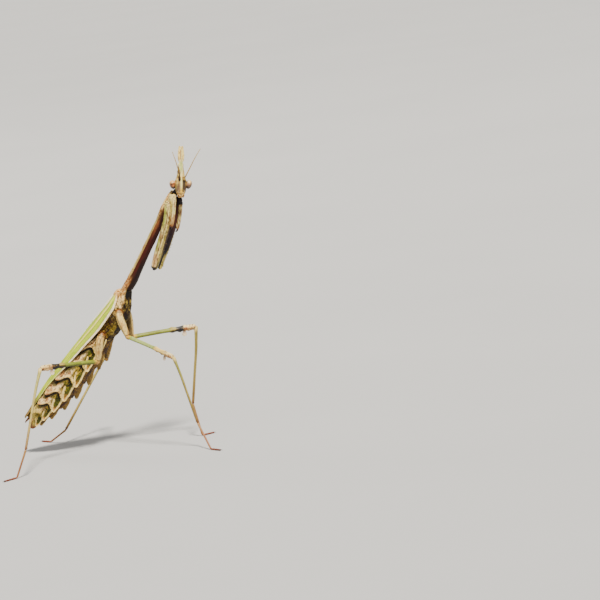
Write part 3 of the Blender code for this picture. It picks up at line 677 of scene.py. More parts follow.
def head_paint(points, height, angle, x):
    away, left = np.abs(x), x > 0
    front = rise(np.cos(angle), -0.1, 0.35)
    cloud, grain = rough(points, 0.34, 3), rough(points, 0.12, 5)
    streak = rough(points * (1, 1, 0.3), 0.13, 6)

    def face(low, high, soft):
        return front * band(height, low, high, soft)

    panel = capped(bump(away, 0.46, 0.3) * face(-1.35, 1.5, 0.2) * (1.7 + 0.9 * streak))
    stripe = capped(bump(away + 0.3 * (height + 1.2), 0.95, 0.24) * face(-1.6, 0.2, 0.25) * 1.6)
    return mix(
        0xDECC96, 0xB08E5C, rise(cloud + 0.3 * streak, -0.1, 0.6) * 0.85,
        # the mauve panels beside the ridge are the face's own colour; the left one and its dark stripe
        # are painted darker as painted shade
        np.where(left[..., None], tone(0x604636), tone(0x96785A)), panel * np.where(left, 0.95, 0.8),
        0x4A3022, stripe * np.where(left, 0.95, 0.55),
        0xECDCA8, bump(away, 0.66, 0.07) * face(-0.9, 1.2, 0.2) * 0.7,
        # painted shade: a dark band beside the ridge on the face's left side
        0x4E3224, capped(bump(x, 0.56, 0.22) * face(-1.1, 0.8, 0.2) * (1.5 + 0.4 * streak)) * 0.9,
        0x866E64, capped(bump(x, -0.5, 0.34) * face(-1.85, 0.1, 0.25) * (1.5 + streak)) * 0.85,
        # painted shade: the lower left cheek painted brown
        0x805E50, rise(x, 0.66, 0.85) * face(-1.8, -0.3, 0.2) * 0.85,
        0xECDAB0, bump(away + 0.5 * (height + 1.35), 0.72, 0.08) * face(-1.9, -0.9, 0.2) * 0.6,
        mix(0xE2C896, 0x8C603C, rise(grain, 0.1, 0.4)), rise(-height, 1.15, 1.6) * front * 0.85,
        0x462A14, bump(height, -1.6, 0.11) * bump(x, -0.16, 0.26) * front,
        mix(0xFAF0C2, 0xEED074, rise(-height, -0.2, 1.2)), bump(x, 0, 0.19) * face(-1.5, 2.6, 0.3) * 1.5,
        # under the chin and behind the eyes
        0x28181E, (1 - front) * rise(-height, -0.4, 0.7) * (0.9 + 0.2 * grain),
        BROWN, (1 - front) * band(height, -0.4, 1.5, 0.3) * rise(cloud, -0.1, 0.5) * 0.7,
        # a dark patch at the root of the right feeler with a streak above it, a browner one at the left
        0x28180C, bump(x, -0.32, 0.16) * face(0.75, 1.35, 0.12) * 1.8,
        0x462E1A, bump(x, -0.34, 0.1) * face(1.35, 2.4, 0.2) * 1.5,
        0x6E503A, bump(x, 0.52, 0.14) * face(0.8, 1.45, 0.15),
        0x604020, rise(grain, 0.34, 0.56) * band(height, -1.4, 2.4, 0.2) * 0.7,
        crest_paint(height, away, x, grain, streak), rise(height, 1.9, 2.6),
        # flecks on the crest's edges
        0x322416, bump(x, -0.52, 0.1) * bump(height, 3.3, 0.15),
        0x3A2A18, bump(x, 0.42, 0.12) * bump(height, 4.12, 0.16),
        0x50361E, bump(height, 7.35, 0.1) * (1 - bump(x, 0.0, 0.1)) * 0.6,
        BROWN, bump(x, -0.5, 0.1) * bump(height, 2.2, 0.15) * 0.7)


def make_head():
    """Head capsule with its face, cheeks, ocelli and crest in one skin."""
    shell = Shell()
    height, angle = rings_between(*HEAD_SPAN, *HEAD_GRID)
    x = head_point(height, angle)[..., 0]
    local = head_point(height, angle, head_relief(height, angle, x))
    x = local[..., 0]
    # the blade's tip is notched and its corners drawn up
    corners = 0.12 * bump(np.abs(x), 0.3, 0.12) - 0.14 * bump(x, 0, 0.1)
    local[..., 2] += rise(height, 6.6, 7.15) * corners
    local[..., 1] += 0.05 * np.sin(height * 1.6) * rise(height, 2.5, 4.0)
    local[..., 0] *= 1 + 0.02 * noise(local, 0.4, 8)
    shell.wrap(FACE.place(local), head_paint(local, height, angle, local[..., 0]))
    for x, z, radius in ((0.0, 1.72, 0.075), (-0.17, 1.5, 0.085), (0.17, 1.5, 0.085)):
        shell.ball(FACE.place(head_point(np.array(z), np.array(x / 0.8), 0.08)), radius, 0xD8AA5A)
    shell.build("head_skin", PALE, "pale_cuticle", "head", "crest")


def make_mouth():
    """Upper lip, jaws and the two pairs of palps."""
    shell = Shell()

    def blob(x, y, z, radii, paint, relief):
        local = globe(22, 28, 0.05) * radii
        local = local * (1 + relief * noise(local, 0.12, 4))[..., None]
        shade = mix(paint, tone(paint) * 0.55, rise(-local[..., 2], 0.0, radii[2]) * 0.6)
        shell.wrap(FACE.place((x, y, z)) + local @ FACE.turn, shade)

    def palp(points, sides, rings, *pairs):
        path = [FACE.place((side * x, y, z)) for x, y, z in points]
        return tube(path, even(*pairs), FACE.turn[0], sides, rings, blunt=0.06)

    blob(0, 0.62, -1.9, (0.42, 0.13, 0.2), 0xE8CE98, 0.05)
    blob(0, 0.57, -2.12, (0.3, 0.11, 0.2), 0xBE9260, 0.05)
    for side in (-1, 1):
        blob(side * 0.4, 0.42, -1.88, (0.17, 0.24, 0.36), 0x825C42, 0.06)
        blob(side * 0.26, 0.22, -2.06, (0.18, 0.22, 0.32), 0x522E22, 0.06)
        grid, share, _ = palp(
            ((0.55, 0.3, -1.6), (0.62, 0.42, -1.9), (0.5, 0.5, -2.2), (0.34, 0.5, -2.42)), 12, 40,
            (0, 0.07), (0.28, 0.085), (0.34, 0.06), (0.42, 0.085), (0.6, 0.085), (0.66, 0.06),
            (0.74, 0.08), (0.92, 0.07), (1, 0.04))
        knots = bump(share, 0.34, 0.04) + bump(share, 0.66, 0.04)
        shell.wrap(grid, mix(0xBCA076, BROWN, knots + 0.3 * share))
        grid, share, _ = palp(((0.12, 0.1, -1.95), (0.2, 0.18, -2.18), (0.14, 0.3, -2.38)), 10, 26,
                              (0, 0.06), (0.4, 0.07), (0.5, 0.045), (0.62, 0.07), (1, 0.035))
        shell.wrap(grid, mix(TAN, BROWN, share))
    shell.build("mouth", PALE, "pale_cuticle", "mouthparts")


def eye_paint(local, side):
    """The right eye is orange-brown and the left one paler; both have dark flecks, a pink top painted as
    a highlight and painted shade below.
    """
    x, y, z = np.moveaxis(local, -1, 0)
    cloud = rough(local, 0.3, 11 + side)
    top = rise(z + 0.25 * cloud, 0.15, 0.55)
    if side < 0:
        paint = mix(
            0x926032, 0xC0884E, rise(cloud, -0.3, 0.4),
            # painted shade on the lower part, then a painted highlight on the top
            0x422A14, rise(-z + 0.3 * cloud, 0.0, 0.5) * 0.9,
            0xEECEA8, top * 0.8,
            0x42240C, bump(x, -0.3, 0.18) * bump(z, 0.18, 0.24),
            0x38220C, bump(x, 0.34, 0.16) * bump(z, -0.2, 0.28) * 0.95,
            0xDEA468, bump(x, 0.0, 0.2) * bump(z, -0.16, 0.16) * 0.9)
    else:
        paint = mix(
            0xC0A088, 0x967866, rise(cloud, -0.2, 0.4) * 0.8,
            # painted shade on the outer side and the lower part, and a painted highlight on the top
            0x7E6452, rise(x, 0.12, 0.45) * 0.85,
            0x564034, rise(-z + 0.2 * cloud, 0.0, 0.5) * 0.9,
            0xF4E0B6, top * bump(x, -0.1, 0.4))
    return mix(paint, paint * 0.4, rise(rough(local, 0.1, 14), 0.3, 0.6) * 0.75,
               0x2E1E14, rise(-y, 0.25, 0.6) * 0.8)


def make_eyes():
    """Egg-shaped eyes, fuller above and drawn to a blunt point at the top."""
    for name, side in SIDES:
        shell = Shell()
        local = globe(*EYE_GRID, 0.02)
        z = local[..., 2]
        local[..., :2] *= ((1 + 0.1 * z) * (1 - 0.06 * rise(z, 0.55, 1.0)))[..., None]
        local *= EYE_RADII
        tilt = math.radians(EYE_TILT * side)
        cos, sin = math.cos(tilt), math.sin(tilt)
        turned = local @ np.array(((cos, 0, -sin), (0, 1, 0), (sin, 0, cos)))
        shell.wrap(FACE.place(turned + (side * EYE_SPACING / 2, *EYE_PLACE)), eye_paint(local, side))
        shell.build(f"compound_eye_{name}", EYE_SKIN, "eye", f"eye_{name}")


# Feelers: where each runs from the face, where its dark part ends and the colour of its root
FEELERS = {
    "left": (((0.42, 0.62, 1.05), (0.5, 0.98, 1.28), (1.5, 1.28, 3.3), (2.45, 1.3, 5.2),
              (3.45, 1.2, 6.85)), 0.16, 0xD8BE80),
    "right": (((-0.32, 0.62, 1.1), (-0.36, 0.98, 1.5), (-0.75, 1.2, 3.0), (-1.25, 1.25, 4.6),
               (-1.9, 1.2, 6.3)), 0.34, 0x503418),
}
FEELER_RINGS, FEELER_JOINTS = 520, 46


def make_antennae():
    """Thread feelers: a stout root, a short second joint and a long ringed thread."""
    for name, (points, dark_end, root) in FEELERS.items():
        shell = Shell()
        share = np.linspace(0, 1, FEELER_RINGS)
        radius = np.interp(share, (0, 0.07, 0.1, 0.13, 0.3, 1.0), (0.16, 0.17, 0.12, 0.11, 0.1, 0.05))
        joint = (share * FEELER_JOINTS) % 1.0
        swelling = joint ** 2 - 0.5 - bump(joint, 0.0, 0.12)
        radius = radius * (1 + 0.1 * (share > 0.1) * swelling)
        grid, share, _ = tube([FACE.place(point) for point in points], np.c_[share, radius, radius],
                              FACE.turn[0], 10, FEELER_RINGS, blunt=0.04)
        shell.wrap(grid, mix(
            0x5C3E1A, 0xBAA050, rise(share, dark_end - 0.12, dark_end + 0.1),
            0xC8B270, rise(share, 0.5, 0.9),
            0x6E4C1A, bump((share * FEELER_JOINTS) % 1.0, 0.0, 0.16) * (share > 0.1) * 0.6,
            root, fall(share, 0.06, 0.14)))
        shell.build(f"feeler_{name}", FEELER_SKIN, "antenna", f"antenna_{name}")


def make_neck():
    """Soft neck with folds round it, between the shield and the back of the head."""
    shell = Shell()
    path = [SHIELD.place((PRONOTUM_LENGTH - 0.6, 0, 0)), FACE.place((0, -0.35, -0.45))]
    grid, _, angle = tube(path, ((0.0, 0.56, 0.56), (0.5, 0.56, 0.6), (1.0, 0.52, 0.55)), LEFT, 48, 60,
                          lambda share, angle: 0.02 * np.sin(share * 34) + 0 * angle)
    top = 1 - np.abs(angle - math.pi) / math.pi
    shell.wrap(grid, mix(PLUM, 0x704638, rise(top, 0.55, 0.95) * 0.8,
                         INK, rise(rough(grid, 0.3, 21), 0.0, 0.5) * 0.6))
    shell.build("neck_membrane", NECK_SKIN, "dark_cuticle", "neck")


# ---- Shield behind the head -----------------------------------------------------------------
def shield_paint(local, share, degrees):
    cloud = rough(local * (0.45, 1, 1), 0.5, 33)
    grain = rough(local * (0.6, 1, 1), 0.2, 35)
    streak = rough(local * (0.12, 1, 1), 0.22, 36)
    edge = degrees + 9 * cloud
    # below the pale back the sides turn from pinkish brown through maroon to nearly black; the maroon is
    # the shield's own colour, and the darkest underside is partly painted shade
    lift = 6 * rise(share, 0.1, 0.3)
    flank = mix(
        0xA67A5A, 0x66301E, rise(0.66 - share, -0.04, 0.16),
        0x5C4222, rise(0.16 - share, -0.05, 0.05) * 0.8,
        0x78482C, rise(streak, 0.1, 0.5) * 0.6,
        0x704C36, rise(share, 0.72, 0.78) * 0.8)
    # the underside: its own dark maroon, darkened further as painted shade
    under = mix(
        0x603630, 0x42261A, rise(0.32 - share, -0.1, 0.1),
        0x543E18, rise(grain, 0.25, 0.55) * rise(0.5 - share, 0.0, 0.2) * 0.6)
    rear, dorsal = fall(share, 0.07, 0.14), rise(edge, 72, 90)
    shoulder = band(share, 0.76, 1.05, 0.04) * rise(edge, 82, 98)
    return mix(
        0xE0D09E, 0xB89664, rise(cloud + 0.4 * streak, -0.2, 0.5),
        0xACB26C, band(share, 0.55, 0.8, 0.08) * 0.5,
        flank, fall(edge, 100 + lift, 114 + lift),
        under, fall(edge, 54, 84),
        0xF0E0AE, bump(degrees, 105, 4) * 0.6 * rise(share, 0.1, 0.16),
        0x744A2C, rise(grain, 0.32, 0.55) * rise(degrees, 100, 120) * 0.55,
        # pinkish tan rear end with brown spots, ending in a pale lip
        mix(0xD8B68E, 0xB48254, rise(grain + 0.4 * cloud, -0.2, 0.4)), rear * dorsal * 0.95,
        0x704C2C, rise(rough(local, 0.26, 37), 0.08, 0.34) * rear * dorsal * 0.85,
        0xF4E4B8, rise(degrees + 5 * cloud, 146, 160) * rear * 0.85,
        0xF8E8B0, fall(share, -0.012, 0.014) * dorsal,
        # shoulder: cream with pinkish brown and dark speckles
        mix(0xEEDAAC, 0xCEA47A, rise(cloud, -0.2, 0.5)), shoulder * 0.85,
        0x603A24, rise(rough(local, 0.22, 39), 0.08, 0.32) * shoulder * 0.9,
        0xF0E2B2, bump(degrees, 180, 16) * 0.6)


def make_pronotum():
    """The long shield: a pale back with a keel, dark sides, toothed edges and a raised shoulder."""
    shell = Shell()
    share, angle = rings_between(PRONOTUM[0][0], PRONOTUM[-1][0], *SHIELD_GRID)
    degrees = from_below(angle)
    half_width, half_depth = np.moveaxis(read(PRONOTUM, share), -1, 0)
    local = np.stack((share * PRONOTUM_LENGTH, half_width * np.sin(angle),
                      -half_depth * np.cos(angle)), axis=-1)
    # a sharp toothed edge along each side with a hollow under it, a furrow across the shoulder and a
    # raised lobe at the rear end
    out = (0.05 * bump(degrees, 180, 7) * band(share, 0.02, 0.97, 0.02) + 0.1 * bump(degrees, 104, 7)
           - 0.06 * bump(degrees, 84, 12) * band(share, 0.05, 0.95, 0.05)
           + 0.07 * rise(teeth(share, 46), 0.55, 1) * bump(degrees, 104, 5) * band(share, 0.1, 0.97, 0.02)
           - 0.1 * bump(share, 0.835, 0.008) * rise(degrees, 95, 130)
           + 0.1 * bump(share, 0.0, 0.03) * rise(degrees, 60, 100)
           - 0.05 * bump(share, 0.075, 0.012) * rise(degrees, 90, 130)
           + 0.035 * noise(local * (0.5, 1, 1), 0.3, 30) + 0.02 * noise(local * (0.15, 1, 1), 0.14, 31))
    flat = 1 - 0.1 * rise(degrees, 120, 170)
    local[..., 1:] *= (flat * (1 + out / np.hypot(local[..., 1], local[..., 2])))[..., None]
    # the rear end is drawn out like a tongue over the wing bases
    tongue = rise(degrees, 66, 112) * fall(share, -0.02, 0.09)
    local[..., 0] -= 1.5 * tongue
    local[..., 2] += 0.22 * tongue * rise(degrees, 90, 150)
    shell.wrap(SHIELD.place(local), shield_paint(local, share, degrees))
    shell.build("neck_shield", SHIELD_SKIN, "pale_cuticle", "pronotum")


# ---- Trunk ----------------------------------------------------------------------------------
def trunk_point(place, angle, out=0.0):
    """A point of the trunk; the angle is 0 at the belly and half a turn at the back."""
    middle, depth, width = np.moveaxis(read(TRUNK_STATIONS, place), -1, 0)
    x = width * (1 - 0.12 * np.cos(angle)) * np.sin(angle)
    y = -depth * np.cos(angle)
    grow = 1 + out / np.hypot(x, y)
    return np.stack((place + 0 * x, x * grow, middle + y * grow), axis=-1)


def thorax_paint(local, place, side, slant, socket):
    cloud, grain = rough(local * (0.7, 1, 1), 0.7, 43), rough(local, 0.26, 45)
    fine = rough(local * (0.5, 1, 1), 0.16, 46)
    plates = mix(
        0xEEDAB2, 0xC4A070, rise(cloud + 0.3 * fine, -0.1, 0.4),
        0xB0B438, band(slant, -3.3, -1.9, 0.25) * band(side, 62, 100, 8) * 0.9,
        0x624222, rise(grain, 0.1, 0.36) * 0.85)
    below = mix(
        0x4E3A22, 0x7C6C3A, rise(cloud + 0.4 * fine, -0.05, 0.35),
        0xBAAA70, rise(rough(local * (0.5, 1, 1), 0.4, 47) + 0.3 * fine, 0.2, 0.46) * 0.8,
        0x322416, rise(-cloud + 0.3 * fine, 0.0, 0.4) * 0.8)
    edge = side + 12 * cloud + 5 * fine
    streaks = rise(rough(local * (0.4, 1, 1), 0.24, 48), 0.1, 0.34)
    return mix(
        below, plates, np.where(place < WAIST, rise(edge, 62, 78), rise(edge, 92, 106)),
        0x60421A, rise(place, -1.4, -0.6) * band(side, 76, 116, 8) * 0.75,
        0xA89642, rise(place, -1.0, 0.0) * streaks * band(side, 40, 110, 8) * 0.8,
        mix(0xBE9262, 0x644022, rise(grain, -0.2, 0.3)), socket * 0.85 * rise(side, 38, 55),
        INK, bump(place, WAIST, 0.12) * band(side, 30, 120, 10) * 0.8,
        INK, fall(place, -6.2, -5.2) * fall(side, 66, 90) * 0.9)


def make_thorax():
    """The two segments that carry the wings and walking legs, with plates, seams and sockets."""
    shell = Shell()
    place, angle = rings_between(THORAX_START, THORAX_END, *THORAX_GRID)
    side = from_below(angle)
    base = TRUNK.place(trunk_point(place, angle))
    slant = place + (side - 80) * 0.02
    out = (-0.2 * bump(place, WAIST, 0.15) * rise(side, 30, 60) * fall(side, 150, 170)
           - 0.1 * bump(side, 62, 3) * band(place, -4.5, 2.6, 0.3)
           + 0.1 * bump(side, 0, 12) + 0.12 * bump(place, THORAX_END - 0.25, 0.22)
           + 0.1 * noise(base, 0.8, 41) + 0.06 * noise(base, 0.35, 42))
    for seam in THORAX_SEAMS:
        welt = 0.1 * bump(slant, seam + 0.25, 0.14) - 0.16 * bump(slant, seam, 0.1)
        out += welt * band(side, 42, 128, 8)
    socket = np.zeros(place.shape)
    for leg in WALKING_LEGS.values():
        near = np.linalg.norm(base - world(*leg[0]), axis=-1)
        out += 0.18 * bump(near, 0.8, 0.24)
        socket = np.maximum(socket, bump(near, 0.5, 0.42))
    local = trunk_point(place, angle, out)
    local[..., 0] += 0.25 * bump(place, THORAX_END, 0.3)
    shell.wrap(TRUNK.place(local), thorax_paint(local, place, side, slant, socket))
    # knobs that carry the wings
    for sign in (-1, 1):
        for s, l, n, size in ((-4.8, 0.7, -0.58, 0.56), (-5.25, 0.3, -0.5, 0.46)):
            dome = globe(30, 40, 0.05)[..., [1, 0, 2]] * (1.25, 1, 1) * size
            dome = dome * (1 + 0.1 * noise(dome, 0.3, 49))[..., None]
            shade = mix(0xECD0A4, 0xB2865A, rise(rough(dome, 0.22, 50), -0.05, 0.3))
            shell.wrap(TRUNK.place((s, sign * l, n) + dome[:, ::-1]), shade[:, ::-1])
    shell.build("thorax_skin", BELLY_SKIN, "mottled_belly", "mesothorax", "metathorax")


LOBE_OUTLINE = ((0, 1.0), (0.25, 1.0), (0.5, 0.86), (0.72, 0.66), (0.86, 0.56), (0.95, 0.42), (1.0, 0.14))


def lobe(shell, sign, root_at, tip_at, size, rim, inside, tip):
    """A scoop with thick pale rims and a hollow face, drawn out from its root to its blunt tip.

    The root and tip are each a place along the trunk, an angle from the belly in degrees and a height.
    """
    def on_trunk(place, degrees, out):
        return TRUNK.place(trunk_point(np.array(place), np.array(sign * math.radians(degrees)), out))

    root, end = on_trunk(*root_at), on_trunk(*tip_at)
    facing = unit(root - on_trunk(*root_at[:2], -1.2)) * 0.55 + TRUNK.turn[1] * sign * 0.9
    length = np.linalg.norm(end - root)
    outward = unit(end - root)
    face = unit(facing - outward * (facing @ outward))
    across = np.cross(face, outward)
    u, v = strip(44, 16)
    spread = (0.5 + 0.45 * size) * read(LOBE_OUTLINE, u[:, 0]) * (1 + 0.06 * np.sin(u * 13))
    round_off = np.sqrt(np.clip(1 - v ** 8, 0.05, 1))
    thick = 0.06 + 0.1 * bump(np.abs(v), 0.84, 0.2) + 0.04 * bump(v, 0, 0.14)
    curl = 0.1 * length * u ** 2 - 0.34 * size * (1 - v ** 2) * (1 - 0.5 * u)
    middle = (root + outward * (u * length)[..., None] + across * (spread * v)[..., None]
              + face * curl[..., None])
    front = middle + face * ((thick + 0.05 * rough(middle, 0.3, 53)) * round_off)[..., None]
    behind = middle - face * (0.06 * round_off + 0 * u)[..., None]
    cloud, fine = rough(front, 0.24, 51), rough(front, 0.12, 52)
    rim = mix(rim, tone(rim) * 0.66, rise(fine, 0.0, 0.4), 0x966842, rise(cloud, 0.2, 0.4) * 0.6)
    paint = mix(inside, tip, rise(u + 0.35 * cloud, 0.62, 0.82),
                0x281E0C, rise(cloud + 0.3 * fine, 0.08, 0.4) * 0.75,
                rim, rise(np.abs(v) + 0.7 * u ** 6 + 0.16 * cloud, 0.5, 0.64))
    rear = mix(0xBAA47A, rim * 0.8, rise(np.abs(v) + 0 * u, 0.8, 0.98) * 0.8)
    rear = mix(rear, rear * 0.5, rise(cloud, 0.0, 0.3) * 0.7)
    shell.wrap(both(front, behind), both(paint, rear))


def segment_phase(place):
    """Which abdominal segment a place is in, and how far along it."""
    borders = np.array(SEGMENTS)
    number = np.clip(np.searchsorted(borders, place, side="right") - 1, 0, len(borders) - 1)
    ends = np.append(borders[1:], TRUNK_END)
    return number, capped((place - borders[number]) / (ends[number] - borders[number]))


def margin_reach(place, side):
    """How far a segment's rear margin is drawn out, in mm: a point beside the wing and one below."""
    point = 2.1 * rise(side, 90, 127) * fall(side, 131, 144)
    return (point + 0.5 * bump(side, 60, 13) - 0.2 * bump(side, 84, 9)) * (1 - 0.65 * rise(place, 20, 26))


def abdomen_paint(local, place, side, phase, fold):
    cloud, grain = rough(local * (0.8, 1, 1), 0.62, 63), rough(local, 0.26, 65)
    fine, lengthwise = rough(local * (0.6, 1, 1), 0.14, 66), rough(local * (0.25, 1, 1), 0.2, 67)
    belly = mix(
        0xA08652, 0x644826, rise(cloud + 0.4 * grain, -0.25, 0.25),
        0x322210, rise(fine + 0.5 * grain, 0.05, 0.4) * 0.8,
        0x96824C, fold * rise(fine, -0.4, 0.2) * 0.6)
    olive = mix(
        0x7E8028, 0x3A3414, rise(cloud + 0.3 * fine, -0.05, 0.3),
        0xD6BE76, rise(lengthwise, 0.08, 0.3) * 0.75)
    tergite = mix(
        0xF2E0C0, 0xC8A27E, rise(cloud + 0.4 * fine, -0.1, 0.5),
        0x604228, rise(lengthwise, 0.08, 0.3) * 0.85,
        mix(0x6E681E, 0x463418, rise(fine, -0.1, 0.3)), fall(phase + 0.2 * cloud, 0.3, 0.5) * 0.9)
    rear = mix(
        0xD8CA8C, 0x7C7C34, rise(cloud + 0.3 * grain, 0.0, 0.3) * 0.9,
        0xC89250, rise(grain, 0.3, 0.5) * 0.6)
    rim = band(phase, 0.78, 0.95, 0.05) * rise(side, 44, 60)
    # painted shadow in the hollow behind each segment's rim
    hollow = fall(phase + 0.08 * cloud, 0.1, 0.26) + rise(phase, 0.965, 0.985)
    hollow = hollow * rise(side, 36, 52) * fall(side, 126, 140)
    return mix(
        belly, olive, rise(side + 6 * fine, 46, 60),
        tergite, rise(side + 12 * grain + 14 * phase, 88, 102),
        # the pale rim of each segment, and behind it painted shadow in the hollow, which runs to a point
        # under the wing
        0xF2DCAC, rim * rise(0.45 - grain, 0.0, 0.4) * 0.85,
        0xCC9674, bump(side, 122, 8) * rise(phase, 0.75, 0.95) * 0.7,
        mix(0x26180C, 0x462E14, rise(fine, 0, 0.4)), hollow * 0.94,
        mix(0x967C42, 0x543A1E, rise(cloud, -0.1, 0.4)), rise(side, 152, 160),
        rear, rise(place, 22.2, 24.4) * rise(side, 22, 50) * 0.8,
        mix(0xAA7E60, 0x603E28, rise(grain, 0.0, 0.5)), rise(place, 26.9, 28.0))


def make_abdomen():
    """Overlapping segments whose rims carry leafy lobes, and the boat-shaped end."""
    shell = Shell()
    place, angle = rings_between(SEGMENTS[0] - 0.35, TRUNK_END, *ABDOMEN_GRID)
    side = from_below(angle)
    base = trunk_point(place, angle)
    ragged = 0.12 * noise(base * (0.5, 1, 1), 0.5, 60)
    number, phase = segment_phase(place - margin_reach(place, side) + 0.25 + ragged)
    step = phase ** 1.4 * fall(phase, 0.96, 1.0)
    fold = bump(side, 52 + 8 * phase, 9)
    ridges = (0.34 * step + 0.26 * bump(side, 120, 12) * phase ** 2 * fall(phase, 0.965, 1)
              + 0.4 * bump(side, 138, 11) + 0.22 * fold * phase
              - 0.22 * bump(side, 74, 9) * bump(phase, 0.55, 0.35)
              + 0.12 * bump(side, 88 + 4 * np.sin(number * 2.1), 4) * band(phase, 0.2, 0.95, 0.1))
    lumps = 0.09 * rough(base * (0.7, 1, 1), 0.7, 61) + 0.05 * rough(base * (0.5, 1, 1), 0.26, 62)
    out = (ridges * fall(place, 24.5, 27.0) + 0.06 * step - 0.12
           - 0.64 * bump(side, 98, 6) * phase * (1 - phase)
           + 0.06 * bump(side, 0, 5) + lumps * rise(side, 30, 55))
    local = trunk_point(place, angle, out)
    shell.wrap(TRUNK.place(local), abdomen_paint(local, place, side, phase, fold))
    for size, start, end in zip(BELLY_LOBES, SEGMENTS, SEGMENTS[1:]):
        root = (start + 0.12 * (end - start), 68, -0.05)
        lobe(shell, -1, root, (end + 0.2, 46, 0.75 * size), size, 0xF6E6B8, 0x686A22, 0xCEA468)
        lobe(shell, 1, root, (end + 0.6, 40, 1.2 * size), size, 0xE8CC9C, 0x88783C, 0xC4A470)
    shell.build("abdomen_skin", BELLY_SKIN, "mottled_belly", *(f"abdomen_{i}" for i in range(1, 8)),
                "abdomen_tip")


def make_cerci():
    """Short, flattened, beaded tail feelers."""
    rings, sides, beads = 160, 18, 11
    for name, sign in SIDES:
        shell = Shell()
        path = [TRUNK.place((s, sign * l, n)) for s, l, n in
                ((25.6, 0.9, -2.5), (26.9, 1.15, -2.55), (28.1, 1.2, -2.7))]
        share = np.linspace(0, 1, rings)
        size = read(((0, 0.2, 0.16), (0.5, 0.28, 0.18), (0.85, 0.22, 0.14), (1, 0.08, 0.06)), share)
        bead = np.abs(np.sin(share * beads * math.pi))[:, None]
        grid, _, _ = tube(path, np.c_[share, size * (0.82 + 0.2 * bead ** 0.5)], LEFT, sides, rings)
        shell.wrap(grid, mix(0x82522E, 0xD6B276, bead ** 0.7 + np.zeros(sides)))
        for i, around in product(range(1, beads), range(5)):
            shell.thorn(grid, int(i / beads * (rings - 1)), (around * 4 + i) % sides, TRUNK.turn[0],
                        0.16, 0.02, TAN, TAN, out=1)
        shell.build(f"tail_feeler_{name}", PALE, "pale_cuticle", f"cercus_{name}")


# ---- Wings ----------------------------------------------------------------------------------
def make_wing(side, stations, height, inner, outer, rings, columns, thickness, relief, paint, *build):
    """A thin folded wing; the shares are of its length, and of its width from the inner margin."""
    share, across = np.meshgrid(np.linspace(0, 1, rings), np.linspace(0, 1, columns), indexing="ij")
    place = stations[0][0] + share * (stations[-1][0] - stations[0][0])
    width, drop = np.moveaxis(read(stations, place), -1, 0)
    girth = width * WING_GIRTH
    angle = np.radians(inner + (outer - inner) * across)
    normal = unit(np.stack((drop * np.sin(angle), width * np.cos(angle)), axis=-1))
    lay = np.stack((place, across * girth, 0 * place), axis=-1)
    lift = relief(lay, share, across, girth)
    sideways = width * np.sin(angle)
    above = height - drop * (1 - np.cos(angle)) - WING_DROOP * rise(place, 17.0, 29.5)
    top, under = (
        np.stack((place, side * (sideways + normal[..., 0] * up), above + normal[..., 1] * up), axis=-1)
        for up in (lift, lift - thickness))
    shell = Shell()
    shell.wrap(TRUNK.place(both(top, under)), both(*paint(top, share, across, girth)), both(lay, lay))
    shell.build(*build)


def vein_lines(share, across, girth):
    """Nearness, 0 to 1, to the wing's long veins and their branches."""
    lines = [(0.955, 0.03), (0.87 + 0.03 * share, 0.055), (0.8 - 0.1 * share, 0.04),
             (0.71 - 0.16 * share, 0.035)]
    for start in (0.02, 0.1, 0.19, 0.29, 0.4, 0.52, 0.64):
        lines.append((0.66 - 0.14 * start - 0.9 * capped(share - start) ** 1.15, 0.028))
    for start in (0.0, 0.03, 0.06):
        lines.append((0.3 - 1.2 * capped(share - start), 0.028))
    return np.max([bump((across - line) * girth, 0, reach + 0.02) for line, reach in lines], axis=0)


def tegmen_paint(local, share, across, girth):
    cloud, fine = rough(local * (0.2, 1, 1), 0.3, 71), rough(local * (0.35, 1, 1), 0.12, 72)
    veins = vein_lines(share, across, girth)
    mm = across * girth
    # a pale streak in the middle of the front half, between two thin brown veins
    streak = (across - (0.66 - 0.12 * share)) * girth
    front = band(share, 0.05, 0.44, 0.05)
    # the whitish lilac of the back narrows and fades towards the rear
    width = girth * (0.44 - 0.32 * rise(share, 0.04, 0.5))
    top = mix(
        0xC4D400, 0xA0B604, rise(cloud, -0.1, 0.5) * 0.8,
        0xD8E014, rise(share, 0.3, 0.6) * rise(-cloud, -0.2, 0.4) * 0.8,
        mix(0xFFFAF8, 0xFAE2E0, rise(fine, -0.1, 0.5)),
        fall(mm + 0.08 * cloud, width, width + 0.16) * fall(share, 0.38, 0.56),
        0xE4E278, fall(mm, 0.35, 0.6) * rise(share, 0.4, 0.56) * 0.7,
        0x7A7428, bump(mm, width + 0.16, 0.09) * fall(share, 0.36, 0.5) * 0.85,
        0xF6EABA, bump(streak, 0, 0.2) * front * 0.95,
        0x7A6828, (bump(streak, 0.3, 0.05) + bump(streak, -0.3, 0.05)) * front * 0.85,
        0xD6DC46, veins * 0.35,
        # white and pink front margin
        mix(0xFFF4EA, 0xE8C0A8, rise(fine, -0.1, 0.5) * 0.8),
        rise(mm, girth - 0.44, girth - 0.34) * (1 - 0.75 * rise(share, 0.5, 0.66)),
        0x7E6434, bump(mm, girth - 0.47, 0.05) * 0.6,
        # olive with fine brown dots, then pinkish beige towards the tip
        0x604622, rise(fine, 0.35, 0.55) * rise(share, 0.5, 0.75) * 0.8,
        mix(0x8A7834, 0xB8926C, rise(share, 0.82, 0.97)), rise(share, 0.76, 0.9) * 0.9,
        0x60422A, veins * rise(share, 0.8, 0.9) * 0.7,
        0xD0A880, fall(share, 0.0, 0.04))
    return top, mix(top, 0xBEBE78, np.full(share.shape, 0.5))


